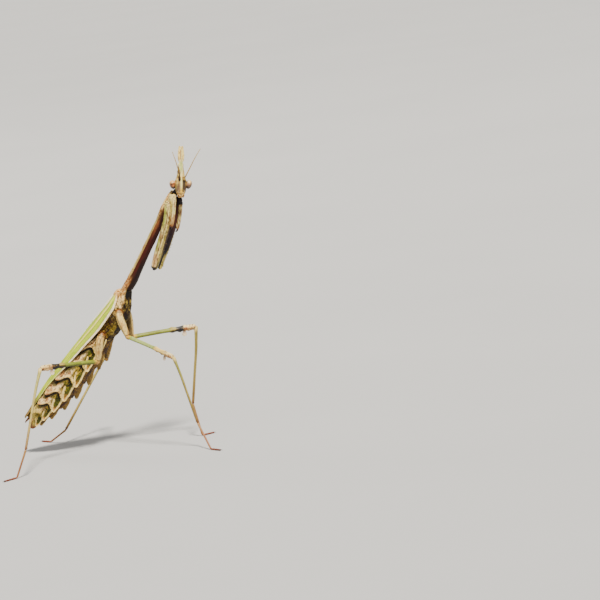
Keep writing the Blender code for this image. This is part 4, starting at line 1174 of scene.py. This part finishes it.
def make_tegmina():
    """Leathery wing covers, the left one over the right."""
    for (name, side), inner, lifted in zip(SIDES, (-14, -6), (0.06, -0.12)):
        def relief(lay, share, across, girth):
            return (0.055 * vein_lines(share, across, girth) + 0.05 * rise(across, 0.95, 0.99)
                    + lifted * fall(across, 0.05, 0.3) + 0.012 * noise(lay * (0.4, 1, 1), 0.3, 73))

        make_wing(side, TEGMEN, 0.0, inner, 88, *TEGMEN_GRID, TEGMEN_THICKNESS, relief, tegmen_paint,
                  f"wing_cover_{name}", TEGMEN_SKIN, "green_tegmen", f"tegmen_{name}")


def pleats(share, across):
    return np.abs(np.sin(across * 26 + 0.6 * share)) ** 3


def hindwing_relief(lay, share, across, girth):
    return 0.07 * pleats(share, across)


def hindwing_paint(local, share, across, girth):
    paint = mix(0xCC9E76, 0xA07048, rise(rough(local * (0.4, 1, 1), 0.3, 75), -0.2, 0.4),
                0x563622, pleats(share, across) * 0.6)
    return paint, paint


def make_hindwings():
    """The tips of the hind wings, which show behind the covers."""
    for name, side in SIDES:
        height = 0.12 * (side > 0) - HINDWING_DROP
        make_wing(side, HINDWING, height, -8, 86, *HINDWING_GRID, HINDWING_THICKNESS, hindwing_relief,
                  hindwing_paint, f"hind_wing_{name}", HINDWING_SKIN, "membrane_tip", f"hindwing_{name}")


# ---- Raptorial legs -------------------------------------------------------------------------
def ring_at(share, rings=LIMB_RINGS):
    return int(share * (rings - 1))


def make_fore_coxa(name, socket, elbow, outward):
    shell = Shell()
    ahead = unit(elbow - socket)

    def along(part, bow):
        return socket + (elbow - socket) * part + world(bow, 0, 0)

    def dent(share, angle):
        front = np.cos(angle)
        saw = 0.05 * rise(teeth(share, 17), 0.6, 1) * bump(front, 1.0, 0.06)
        return (0.06 * bump(front, -0.85, 0.2) + 0.05 * bump(front, 0.95, 0.1)
                + 0.025 * np.cos(angle * 6) * band(share, 0.12, 0.9, 0.05)
                + saw * band(share, 0.1, 0.92, 0.04))

    path = [along(-0.04, 0) - outward * 0.9, along(0, 0.05) - outward * 0.12, along(0.22, 0.42),
            along(0.55, 0.24), along(0.78, 0.02), elbow]
    grid, share, angle = tube(path, FORE_COXA, LEFT, LIMB_SIDES, LIMB_RINGS, dent, blunt=0.3)
    outer = np.sin(angle) * outward[0]          # 1 on the outer face
    front = np.cos(angle)                       # 1 at the front edge
    cloud, grain = rough(grid * (1, 1, 0.35), 0.4, 81), rough(grid * (1, 1, 0.5), 0.2, 82)
    streak = rough(grid * (1, 1, 0.12), 0.13, 84)
    tint = bump(front, -0.3, 0.55) * (band(share, 0.1, 0.4, 0.08) + 0.9 * band(share, 0.55, 0.74, 0.04))
    shell.wrap(grid, mix(
        0xECE0B2, 0xBA9E74, rise(cloud + 0.4 * streak, -0.1, 0.45),
        0xA8B254, tint * rise(outer, -0.1, 0.4) * 0.95,
        0xB0B064, rise(-front, 0.5, 0.95) * 0.5,
        0x785632, bump(front, 0.52, 0.16) * band(share, 0.15, 0.95, 0.05) * 0.9,
        0x8C6842, bump(front, -0.75, 0.1) * band(share, 0.3, 0.95, 0.05) * 0.6,
        0xE2C8A4, rise(share, 0.76, 0.86) * 0.8,
        0x8C643A, bump(front, 0.15, 0.2) * band(share, 0.8, 0.96, 0.03) * rise(outer, 0, 0.4),
        0x705436, rise(streak, 0.12, 0.4) * 0.7,
        0x543A24, rise(grain, 0.32, 0.5) * 0.85,
        0x462A1C, bump(share, 0.47, 0.014) * bump(front, 0.0, 0.2) * rise(outer, 0, 0.3),
        mix(PLUM, INK, rise(cloud, -0.1, 0.4)), rise(-outer, 0.35, 0.75) * 0.9,
        0x805838, fall(share, 0.07, 0.14) * rise(grain, -0.2, 0.2),
        0x2C221A, rise(share + 0.01 * grain, 0.955, 0.975)))
    for i in range(9):
        shell.thorn(grid, ring_at(0.16 + 0.085 * i), 0, ahead * 0.2, 0.13, 0.035, 0x966C46, UMBER)
    for i in range(7):
        shell.thorn(grid, 214 - 3 * (i % 3), (3 + 7 * i) % LIMB_SIDES, ahead * 0.9, 0.2, 0.06, UMBER, INK)
    shell.build(f"fore_leg_coxa_{name}", PALE, "pale_cuticle", f"fore_coxa_{name}")


def fore_femur_paint(right, grid, share, outer, lower):
    """Pale outside and dark inside; the left one's lower edge is pale near the elbow."""
    cloud, grain = rough(grid * (1, 1, 0.4), 0.4, 87), rough(grid, 0.18, 89)
    streak = rough(grid * (1, 1, 0.12), 0.13, 90)
    pale = mix(
        0xF2E4A8, 0xC4B86C, rise(cloud, -0.1, 0.4) * 0.8,
        0x684C30, rise(streak, 0.1, 0.4) * 0.7,
        0x60422A, rise(grain, 0.3, 0.55) * 0.7)
    dark = mix(
        0x2C2836, 0x563A44, rise(share + 0.1 * cloud, 0.25, 0.5),
        0x744638, band(share + 0.1 * cloud, 0.6, 0.88, 0.05),
        0x3E2A36, rise(share, 0.87, 0.91),
        INK, rise(grain, 0.1, 0.5) * 0.4)
    edge = rise(lower + 0.1 * cloud, 0.66, 0.84) * fall(share, 0.2, 0.32)
    if right:
        edge = edge * 0.3
    else:
        edge = np.maximum(edge, rise(lower + 0.15 * cloud, 0.1, 0.4) * fall(share, 0.12, 0.26))
    inner = rise(-outer + 0.7 * right * rise(lower, -0.3, 0.2), -0.25, 0.15) * (1 - edge)
    inner = np.maximum(inner, rise(lower, 0.72, 0.9) * band(share, 0.5, 0.93, 0.04))
    knee = rise(share, 0.9, 0.95) * right
    return mix(
        pale, dark, inner,
        0x705438, bump(lower, 0.95, 0.14) * band(share, 0.3, 0.62, 0.06) * 0.5,
        0x8A7E42, rise(-lower, 0.8, 0.97) * fall(share, 0.8, 0.9) * 0.6,
        0xE8DAB0, knee * rise(outer, -0.3, 0.1),
        0x68462C, rise(grain, 0.05, 0.3) * knee * 0.8)


FEMUR_SPINES = (0.22, 0.34, 0.22, 0.4, 0.24, 0.34, 0.22, 0.4, 0.24, 0.34, 0.22, 0.28)


def make_fore_femur(name, elbow, knee, inward):
    shell = Shell()
    right = name == "right"
    hinge = elbow + inward * 0.72 - UP * 0.3
    ahead = unit(knee - hinge)
    shell.knob([elbow + inward * 0.1 + UP * 0.1, elbow + inward * 0.4 - UP * 0.12, hinge + ahead * 0.6],
               ((0, 0.26, 0.26), (0.5, 0.3, 0.28), (1, 0.28, 0.3)), LEFT, 24, 26, 0x4A3426, INK,
               0.2, 85, -0.3, 0.2)
    path = [hinge, hinge * 0.56 + knee * 0.44 + world(0.26, 0, 0.02),
            hinge * 0.26 + knee * 0.74 + world(0.22, 0, 0), knee + ahead * (0.34 if right else 0.5)]

    def dent(share, angle):
        lower = np.cos(angle)
        return (0.05 * bump(np.abs(np.sin(angle)), 0.5, 0.14) * rise(lower, 0.2, 0.6)
                - 0.1 * bump(lower, 1.0, 0.05) * band(share, 0.14, 0.86, 0.05)
                + 0.03 * bump(lower, -1, 0.1) + 0.12 * bump(share, 0.95, 0.03) * rise(lower, -0.5, 1))

    grid, share, angle = tube(path, FORE_FEMUR, LEFT, LIMB_SIDES, LIMB_RINGS, dent, blunt=0.3)
    shell.wrap(grid, fore_femur_paint(right, grid, share, -np.sin(angle) * inward[0], np.cos(angle)))
    for i, size in enumerate(FEMUR_SPINES):
        for column, part in ((4, 1.0), (LIMB_SIDES - 4, 0.75)):
            shell.thorn(grid, ring_at(0.2 + 0.052 * i), column, ahead * 0.15,
                        size * part * (1.0 if right else 0.6), 0.05, 0x785838, INK, 0.15, ahead)
    for i in range(4):
        shell.thorn(grid, ring_at(0.24 + 0.045 * i), 0, 0, 0.4 + 0.12 * (i % 2), 0.06, 0xA08250, INK,
                    0.2, ahead)
    shell.build(f"fore_leg_femur_{name}", PALE, "pale_cuticle", f"fore_femur_{name}")


def make_fore_tibia(name, knee, tip):
    """Folded against the femur, with two rows of spines and the hooked claw at its tip."""
    shell = Shell()
    right = name == "right"
    hock = knee + unit(tip - knee) * 0.45 + world(0.34 if right else 0.5, 0, 0)
    inner = 0xE2D0A4 if right else 0x2C1C2A
    shell.knob([knee + UP * 0.05, knee + world(0.22, 0, 0.05), hock + world(0.0, 0, -0.1)],
               ((0, 0.3, 0.36), (0.5, 0.36, 0.42), (1, 0.32, 0.38)), LEFT, 24, 24,
               inner, tone(inner) * 0.4, 0.24, 91, 0.0, 0.3)
    ahead = unit(tip - hock)

    def dent(share, angle):
        return 0.03 * bump(np.cos(angle), -1, 0.15) + 0.02 * np.cos(angle * 4)

    rings = 140
    grid, share, _ = tube([hock, hock * 0.5 + tip * 0.5 + world(0.12, 0, 0), tip], FORE_TIBIA, LEFT, 36,
                          rings, dent, above_hint=world(1, 0, 0))
    cloud, grain = rough(grid * (1, 1, 0.4), 0.34, 93), rough(grid * (1, 1, 0.5), 0.18, 94)
    streak = rough(grid * (1, 1, 0.12), 0.13, 96)
    shell.wrap(grid, mix(
        0xF0E4BA, 0xC8AC84, rise(cloud + 0.3 * streak, -0.15, 0.35),
        0xBCC28C, bump(share, 0.35, 0.2) * rise(-cloud, 0.0, 0.4) * 0.6,
        0x705236, rise(grain, 0.26, 0.46) * 0.85,
        0x8C6A44, rise(streak, 0.12, 0.4) * 0.7,
        0xA67844, rise(share, 0.84, 0.98) * 0.8,
        0x2C1C2A, fall(share + 0.04 * cloud, 0.09, 0.14) * (not right)))
    for i, column in product(range(11), (4, 32)):
        shell.thorn(grid, ring_at(0.2 + 0.066 * i, rings), column, ahead * 0.4, 0.2 - 0.006 * i, 0.045,
                    0xBEA068, UMBER, 0.2, ahead)
    # the claw is bent back towards the femur
    shell.rod([tip + ahead * reach - world(back, 0, 0) for reach, back in
               ((-0.3, 0), (0.2, -0.05), (0.45, 0.12), (0.55, 0.4))],
              ((0, 0.2, 0.24), (0.4, 0.15, 0.18), (0.8, 0.08, 0.09), (1, 0.015, 0.015)), LEFT, 16, 36,
              0x8C5A28, 0x22140C, 0.1, 0.6, blunt=0.02)
    shell.build(f"fore_leg_tibia_{name}", PALE, "pale_cuticle", f"fore_tibia_{name}")


def jointed_foot(shell, points, widths, across, palette, sides=14):
    """A row of short joints, each a little wider at its far end."""
    for start, end, (width, depth), colour in zip(points, points[1:], widths, palette):
        stations = [(share, w * width, d * depth) for share, w, d in JOINT]
        reach = unit(end - start) * 0.04
        grid, share, _ = tube([start - reach, end + reach], stations, across, sides, 26, blunt=0.05)
        shell.wrap(grid, mix(colour, tone(colour) * 0.5, rise(share, 0.84, 0.97),
                             tone(colour) * 1.2, rise(rough(grid, 0.2, 97), 0.1, 0.5) * 0.5))


def make_fore_tarsus(name, knee, tip, outward):
    """The foot, folded back along the tibia on a short stalk."""
    shell = Shell()
    wrist = tip + outward * 0.5 + UP * 0.3
    fold = tip + (knee - tip) * 0.72 + outward * 0.55 + world(-0.26, 0, 0)
    root = tip + outward * 0.1 + UP * 0.1
    stalk = [root, root * 0.4 + wrist * 0.6 - UP * 0.05, wrist + (fold - wrist) * 0.05]
    shell.wrap(tube(stalk, even((0, 0.12), (0.5, 0.13), (1, 0.12)), FACE.turn[1], 12, 14)[0], 0x8C643A)
    points = [wrist + (fold - wrist) * stop for stop in (0.0, 0.5, 0.68, 0.79, 0.88, 1.0)]
    jointed_foot(shell, points, [(0.1, 0.11)] * 5, LEFT,
                 (0xA68254, 0x967044, 0x8C663C, 0x825C34, 0x74502E))
    for sign in (-1, 1):
        shell.spine(fold, unit(fold - wrist) + LEFT * 0.5 * sign, 0.22, 0.05, BROWN, INK, -0.3, outward)
    shell.build(f"fore_leg_foot_{name}", KHAKI_LIMB, "khaki_leg", f"fore_tarsus_{name}")


def make_raptorial_legs():
    for name, stance in FORELEGS.items():
        socket, elbow, knee, tip = (world(*point) for point in stance)
        outward = -LEFT if name == "right" else LEFT
        make_fore_coxa(name, socket, elbow, outward)
        make_fore_femur(name, elbow, knee, -outward)
        make_fore_tibia(name, knee, tip)
        make_fore_tarsus(name, knee, tip, outward)


# ---- Walking legs ---------------------------------------------------------------------------
def make_coxa(name, socket, hip, sign):
    shell = Shell()
    ahead = unit(hip - socket)
    middle = (2 - sign) * math.pi / 2          # the angle of the outer face's middle

    def dent(share, angle):
        keel = 0.1 * bump(angle, middle, 0.13) - 0.06 * bump(angle, middle + 0.55 * sign, 0.16)
        return (keel * band(share, 0.12, 0.9, 0.08)
                - 0.07 * bump(share, 0.13, 0.03) * rise(np.sin(angle) * sign, -0.4, 0.3))

    path = [socket - ahead * 0.35 - LEFT * sign * 0.35, socket, hip]
    grid, share, angle = tube(path, COXA, LEFT, 52, 120, dent, blunt=0.4)
    cloud, fine = rough(grid * (1, 1, 0.5), 0.4, 101), rough(grid * (1, 1, 0.4), 0.16, 102)
    wavy = middle - 0.42 * sign + 0.1 * np.sin(share * 9)
    shell.wrap(grid, mix(
        0xE6D4A4, 0xCEB07C, rise(cloud, -0.1, 0.5),
        0x784E26, bump(angle, wavy, 0.12) * band(share, 0.2, 0.86, 0.05) * 0.85,
        0x785026, rise(fine, 0.3, 0.5) * 0.7,
        mix(0x543E14, INK, rise(cloud, 0.0, 0.4)), rise(-np.sin(angle) * sign, 0.3, 0.75) * 0.8,
        mix(0xAC8252, 0x54361E, rise(fine, -0.2, 0.3)), fall(share, 0.1, 0.18),
        0x422610, bump(share, 0.17, 0.02) * 0.8,
        0x784822, rise(share + 0.03 * fine, 0.9, 0.98) * 0.8))
    shell.build(f"{name}_leg_coxa", PALE, "pale_cuticle", f"{name}_coxa")


def femur_paint(name, grid, share, angle):
    """Green for more than half its length, then dark and pale bands over the lobed part."""
    upper = -np.cos(angle)
    cloud, grain = rough(grid, 0.5, 105), rough(grid, 0.2, 107)
    paint = mix(0xACB66C, 0x949E48, rise(cloud, -0.2, 0.5))
    if name == "mid_right":
        paint = mix(
            paint, 0xBCC69A, band(share, 0.08, 0.56, 0.05) * rise(upper, -0.4, 0.4) * 0.8,
            0x808628, rise(-upper, 0.2, 0.8) * 0.7)
    elif name == "mid_left":
        paint = mix(paint, 0x9EA054, np.full(share.shape, 0.6))
    else:
        paint = mix(paint, 0x8C924A, np.full(share.shape, 0.5))
    paint = mix(
        paint, 0x5C5818, rise(-upper, 0.5, 0.9) * 0.7,
        0x6E6028, rise(grain, 0.4, 0.6) * 0.5,
        0xD6BE70, fall(share, 0.02, 0.08))
    if name == "mid_right":
        paint = mix(
            paint, 0xE8D4A0, rise(share + 0.03 * cloud, 0.57, 0.62),
            # painted shade, broken up by the grain, on the lower side of the knee
            0x785436, band(share, 0.62, 0.8, 0.03) * rise(-upper, -0.2, 0.4) * rise(grain, -0.3, 0.2))
    else:
        fleck = bump(upper, 0.3, 0.25) * band(share, 0.6, 0.79, 0.03) * rise(grain, -0.1, 0.3)
        paint = mix(
            paint, mix(0xBAAE74, 0x5C4E2C, rise(-upper + 0.6 * cloud, -0.3, 0.3)),
            band(share + 0.03 * cloud, 0.58, 0.7, 0.02),
            mix(0x222232, 0x462E1E, rise(cloud, 0.0, 0.4)), band(share + 0.03 * cloud, 0.685, 0.83, 0.02),
            0xD6C096, fleck * (0.3 if name == "mid_left" else 0.8))
    beige = mix(
        0xE6CEA4, 0xC09270, rise(cloud, -0.1, 0.4),
        0x6E442A, rise(grain, 0.1, 0.4) * 0.8,
        # painted shade under the knee, and a painted highlight along its top
        0x805432, bump(upper, -0.35, 0.2) * 0.7,
        0xF6ECCC, rise(upper, 0.3, 0.8) * rise(0.3 - grain, 0.0, 0.3) * 0.8)
    return mix(
        paint, beige, rise(share, 0.79, 0.82),
        0x4C2C1C, rise(share, 0.95, 1.0) * rise(-upper, 0.1, 0.7))


def make_walking_femur(name, socket, hip, knee, across):
    """The femur with the trochanter at its root, and a lobe and two clasping plates at the knee."""
    shell = Shell()
    ahead = unit(knee - hip)
    down = unit(-UP + ahead * (ahead @ UP))
    shell.knob([hip - unit(hip - socket) * 0.35, hip + down * 0.05, hip + ahead * 0.75], TROCHANTER,
               across, 26, 30, 0xCEB078, 0x6E3E1E, 0.3, 109, -0.1, 0.4)

    def dent(share, angle):
        lower = np.cos(angle)
        crest = (0.1 * bump(share, 0.62, 0.03) + 0.1 * bump(share, 0.82, 0.04)
                 + 0.06 * bump(share, 0.9, 0.02))
        leafy = (0.08 * bump(share, 0.635, 0.03) + 0.2 * bump(share, 0.74, 0.03)
                 + 0.12 * bump(share, 0.88, 0.03))
        return 0.025 * np.cos(4 * angle) + crest * rise(-lower, 0.55, 1.0) + leafy * rise(lower, 0.6, 1.0)

    rings = 240
    path = [hip + ahead * 0.25, hip * 0.5 + knee * 0.5 + UP * 0.1, knee]
    grid, share, angle = tube(path, FEMUR, across, 40, rings, dent)
    shell.wrap(grid, femur_paint(name, grid, share, angle))
    row = ring_at(0.815, rings)
    drop = unit(down - ahead * 0.12)
    hang_lobe(shell, grid[row, 0] * 0.75 + grid[row].mean(0) * 0.25, drop, ahead,
              unit(np.cross(drop, ahead)))
    for sign in (-1, 1):
        spot = grid[-10].mean(0) + across * 0.3 * sign
        plate = [spot + ahead * reach + down * low for reach, low in
                 ((-0.5, 0.05), (0, 0.06), (0.32, 0.12))]
        shell.rod(plate, ((0, 0.05, 0.1), (0.4, 0.08, 0.26), (0.8, 0.07, 0.22), (1, 0.03, 0.06)), across,
                  16, 20, 0xE8D6B0, 0x8C5C3C, 0.55, 0.95)
    shell.build(f"{name}_leg_femur", GREEN_LIMB, "green_leg", f"{name}_femur")


def hang_lobe(shell, foot, drop, along, face):
    """A thin rounded leaf on a short stalk."""
    u, v = strip(34, 9)
    length = 1.15
    spread = read(((0, 0.3), (0.16, 0.26), (0.34, 0.32), (0.62, 0.46), (0.84, 0.4), (1.0, 0.08)), u[:, 0])
    cos, sin = np.cos(0.5 * u)[..., None], np.sin(0.5 * u)[..., None]
    thick = 0.055 + 0.04 * bump(v, 0, 0.25) + 0.02 * rise(np.abs(v), 0.7, 0.95)
    thick = (thick * np.sqrt(1 - 0.85 * v ** 6))[..., None]
    middle = foot + drop * (u * length)[..., None] + (along * cos + face * sin) * (spread * v)[..., None]
    flat = face * cos - along * sin
    grid = both(middle + flat * thick, middle - flat * thick)
    cloud = rough(grid, 0.2, 111)
    shell.wrap(grid, mix(
        0xCEBAB0, 0xF0E4D6, rise(u + 0.2 * cloud, 0.35, 0.65),
        0x402E2E, fall(u, 0.08, 0.36) * 0.9,
        0xA88070, rise(cloud, 0.25, 0.6) * 0.6))


TIBIA_GREEN = {"mid_right": 0.35, "mid_left": 0.1, "hind_right": 0.25, "hind_left": 0.0}


def make_walking_tibia(name, knee, ankle, across):
    shell = Shell()
    ahead = unit(ankle - knee)
    bow = unit(np.cross(ahead, across)) * 0.18
    path = [knee - ahead * 0.12, knee * 0.75 + ankle * 0.25 + bow,
            knee * 0.4 + ankle * 0.6 + bow * 0.6, ankle]

    def dent(share, angle):
        return 0.016 * np.cos(4 * angle) * band(share, 0.1, 0.95, 0.05)

    sides = 28
    grid, share, angle = tube(path, TIBIA, across, sides, LIMB_RINGS, dent)
    shell.wrap(grid, mix(
        0xC4B884, 0xB2A670, rise(rough(grid * (1, 1, 0.3), 0.4, 113), -0.2, 0.4),
        0xACBC78, TIBIA_GREEN[name] * fall(share, 0.2, 0.5),
        0x6E5C38, bump(np.sin(angle), -1, 0.16) * band(share, 0.05, 0.9, 0.05) * 0.5,
        0xECDCB0, bump(share, 0.03, 0.03),
        0x96744E, rise(share, 0.5, 1.0) * 0.75,
        0x885E42, rise(share, 0.93, 1.0) * 0.9))
    for i, column in product(range(26), (3, 25)):
        shell.thorn(grid, ring_at(0.1 + 0.033 * i), (column + i % 3) % sides, ahead, 0.16, 0.022,
                    0xAA8C5A, BROWN, out=0.7)
    for column in (4, 24):
        shell.thorn(grid, 212, column, ahead, 0.34, 0.05, BROWN, UMBER, out=0.6)
    shell.build(f"{name}_leg_tibia", KHAKI_LIMB, "khaki_leg", f"{name}_tibia")


FIRST_JOINT = ((0.0, 0.15, 0.15), (0.04, 0.2, 0.21), (0.3, 0.18, 0.19), (0.85, 0.18, 0.18),
               (0.97, 0.18, 0.17), (1.0, 0.12, 0.12))
FOOT_HEIGHT = 0.17          # of the joints' middle above the ground


def make_walking_foot(name, ankle, heel, toe, across):
    """A long first joint, four short ones flat on the ground, and two claws."""
    shell = Shell()
    heel = np.array((*heel[:2], FOOT_HEIGHT + 0.04))
    toe = np.array((*toe[:2], FOOT_HEIGHT))
    ahead = unit(toe - heel)
    side = unit(np.cross(UP, ahead))
    joints = [heel + (toe - heel) * stop for stop in (0.34, 0.56, 0.74, 0.92)]
    grid, share, _ = tube([ankle - unit(heel - ankle) * 0.1, heel], FIRST_JOINT, across, 20, 90)
    paint = mix(0xBC9E78, 0xB28A6C, rise(share, 0.05, 0.55))
    shell.wrap(grid, mix(paint, paint * 0.7, rise(rough(grid, 0.25, 115), 0.1, 0.5) * 0.5))
    jointed_foot(shell, [heel] + joints, [(0.22, 0.16)] * 3 + [(0.2, 0.15)], side,
                 (0xA26E54, 0x9A644C, 0x945E48, 0x8A5642), 18)
    for joint in joints:
        shell.ball(np.array((*joint[:2], 0.07)), 0.1, 0x96603C, (1, 1, 0.7))
    tip = joints[-1]
    for sign in (-1, 1):
        claw = [tip + ahead * reach + side * apart * sign + UP * lift for reach, apart, lift in
                ((-0.1, 0, 0), (0.14, 0.1, 0.05), (0.3, 0.2, -0.02), (0.38, 0.26, 0.03 - FOOT_HEIGHT))]
        shell.rod(claw, even((0, 0.06), (0.5, 0.045), (1, 0.012)), side, 10, 22, 0x6E3218, INK, 0.3, 0.9)
    shell.ball(tip + ahead * 0.06, 0.1, 0x5A2C1A, (1, 1, 0.8))
    shell.build(f"{name}_leg_foot", BROWN_LIMB, "brown_foot", f"{name}_tarsus")


def make_walking_legs():
    for name, stance in WALKING_LEGS.items():
        socket, hip, knee, ankle, heel, toe = (world(*point) for point in stance)
        across = unit(np.cross(knee - hip, ankle - knee))
        make_coxa(name, socket, hip, 1 if name.endswith("left") else -1)
        make_walking_femur(name, socket, hip, knee, across)
        make_walking_tibia(name, knee, ankle, across)
        make_walking_foot(name, ankle, heel, toe, across)


# ---- Stage ----------------------------------------------------------------------------------
CAMERA_AZIMUTH, CAMERA_ELEVATION, CAMERA_ROLL = -68.057, 7.910, 7.5
CAMERA_PLACE = np.array((-569.9, -265.75, 111.48))   # from the animal's origin, millimetres
LENS, SENSOR = 200.0, 36.0
LIGHT_TARGET = 0.025        # metres above the middle of the part's floor
FLOOR_RADIUS = 6.0


def set_out(thing, right, top, back, place):
    """Put a camera or light in the scene, looking against its back direction."""
    matrix = np.eye(4)
    matrix[:3] = np.stack((right, top, back, place), axis=1)
    thing.matrix_world = Matrix(matrix.tolist())
    bpy.context.scene.collection.objects.link(thing)


def make_camera():
    a, e, r = (math.radians(angle) for angle in (CAMERA_AZIMUTH, CAMERA_ELEVATION, CAMERA_ROLL))
    back = np.array((math.sin(a) * math.cos(e), -math.cos(a) * math.cos(e), math.sin(e)))
    level = np.array((math.cos(a), math.sin(a), 0.0))
    upright = np.cross(back, level)
    right = level * math.cos(r) - upright * math.sin(r)
    top = level * math.sin(r) + upright * math.cos(r)
    data = bpy.data.cameras.new("camera")
    data.lens = LENS
    data.sensor_width = SENSOR
    data.clip_start, data.clip_end = 0.01, 100.0
    camera = bpy.data.objects.new("camera", data)
    set_out(camera, right, top, back, (CAMERA_PLACE + ORIGIN) * MM)
    bpy.context.scene.camera = camera
    return right, back


def make_floor():
    mesh = bpy.data.meshes.new("floor")
    bm = bmesh.new()
    bmesh.ops.create_circle(bm, cap_ends=True, segments=96, radius=FLOOR_RADIUS)
    bm.to_mesh(mesh)
    bm.free()
    material, tree = new_material("floor_paper")
    cloud = clouds(tree, node(tree, "TexCoord", "Object", {}), 14.0, 3.0, 0.5)
    paper = tinted(tree, (0.44, 0.437, 0.43, 1), (0.48, 0.476, 0.468, 1), cloud)
    feed(tree, tree.nodes["Principled BSDF"], {"Base Color": paper, "Roughness": 0.9})
    mesh.materials.append(material)
    floor = bpy.data.objects.new("floor", mesh)
    bpy.context.scene.collection.objects.link(floor)


def make_light(name, kind, offset, power, colour, **settings):
    """A lamp at an offset, in metres, from the light target, which it points at."""
    data = bpy.data.lights.new(name, kind)
    data.energy, data.color = power, colour
    for key, value in settings.items():
        setattr(data, key, value)
    back = unit(offset)
    side = unit(np.cross(UP, back))
    lamp = bpy.data.objects.new(name, data)
    set_out(lamp, side, np.cross(back, side), back, UP * LIGHT_TARGET + offset)


def make_lights(right, back):
    """A soft key from the upper right of the camera, a broad fill from its left and a rim from behind."""
    level = unit(back * (1, 1, 0))
    make_light("key", "SUN", right * 0.15 + level * 0.5 + UP * 0.85, 8.0, (1.0, 0.955, 0.87),
               angle=math.radians(9))
    make_light("fill", "AREA", -right * 0.6 + level * 0.5 + UP * 0.3, 1.2, (0.94, 0.97, 1.0),
               shape="DISK", size=0.6)
    make_light("rim", "AREA", -right * 0.35 - level * 0.6 + UP * 0.5, 2.0, (1.0, 0.98, 0.95),
               shape="DISK", size=0.4)
    studio = bpy.data.worlds.new("studio")
    studio.use_nodes = True
    feed(studio.node_tree, studio.node_tree.nodes["Background"],
         {"Color": (0.88, 0.88, 0.87, 1), "Strength": 0.42})
    bpy.context.scene.world = studio


make_head()
make_mouth()
make_eyes()
make_antennae()
make_neck()
make_pronotum()
make_thorax()
make_abdomen()
make_cerci()
make_tegmina()
make_hindwings()
make_raptorial_legs()
make_walking_legs()
make_lights(*make_camera())
make_floor()
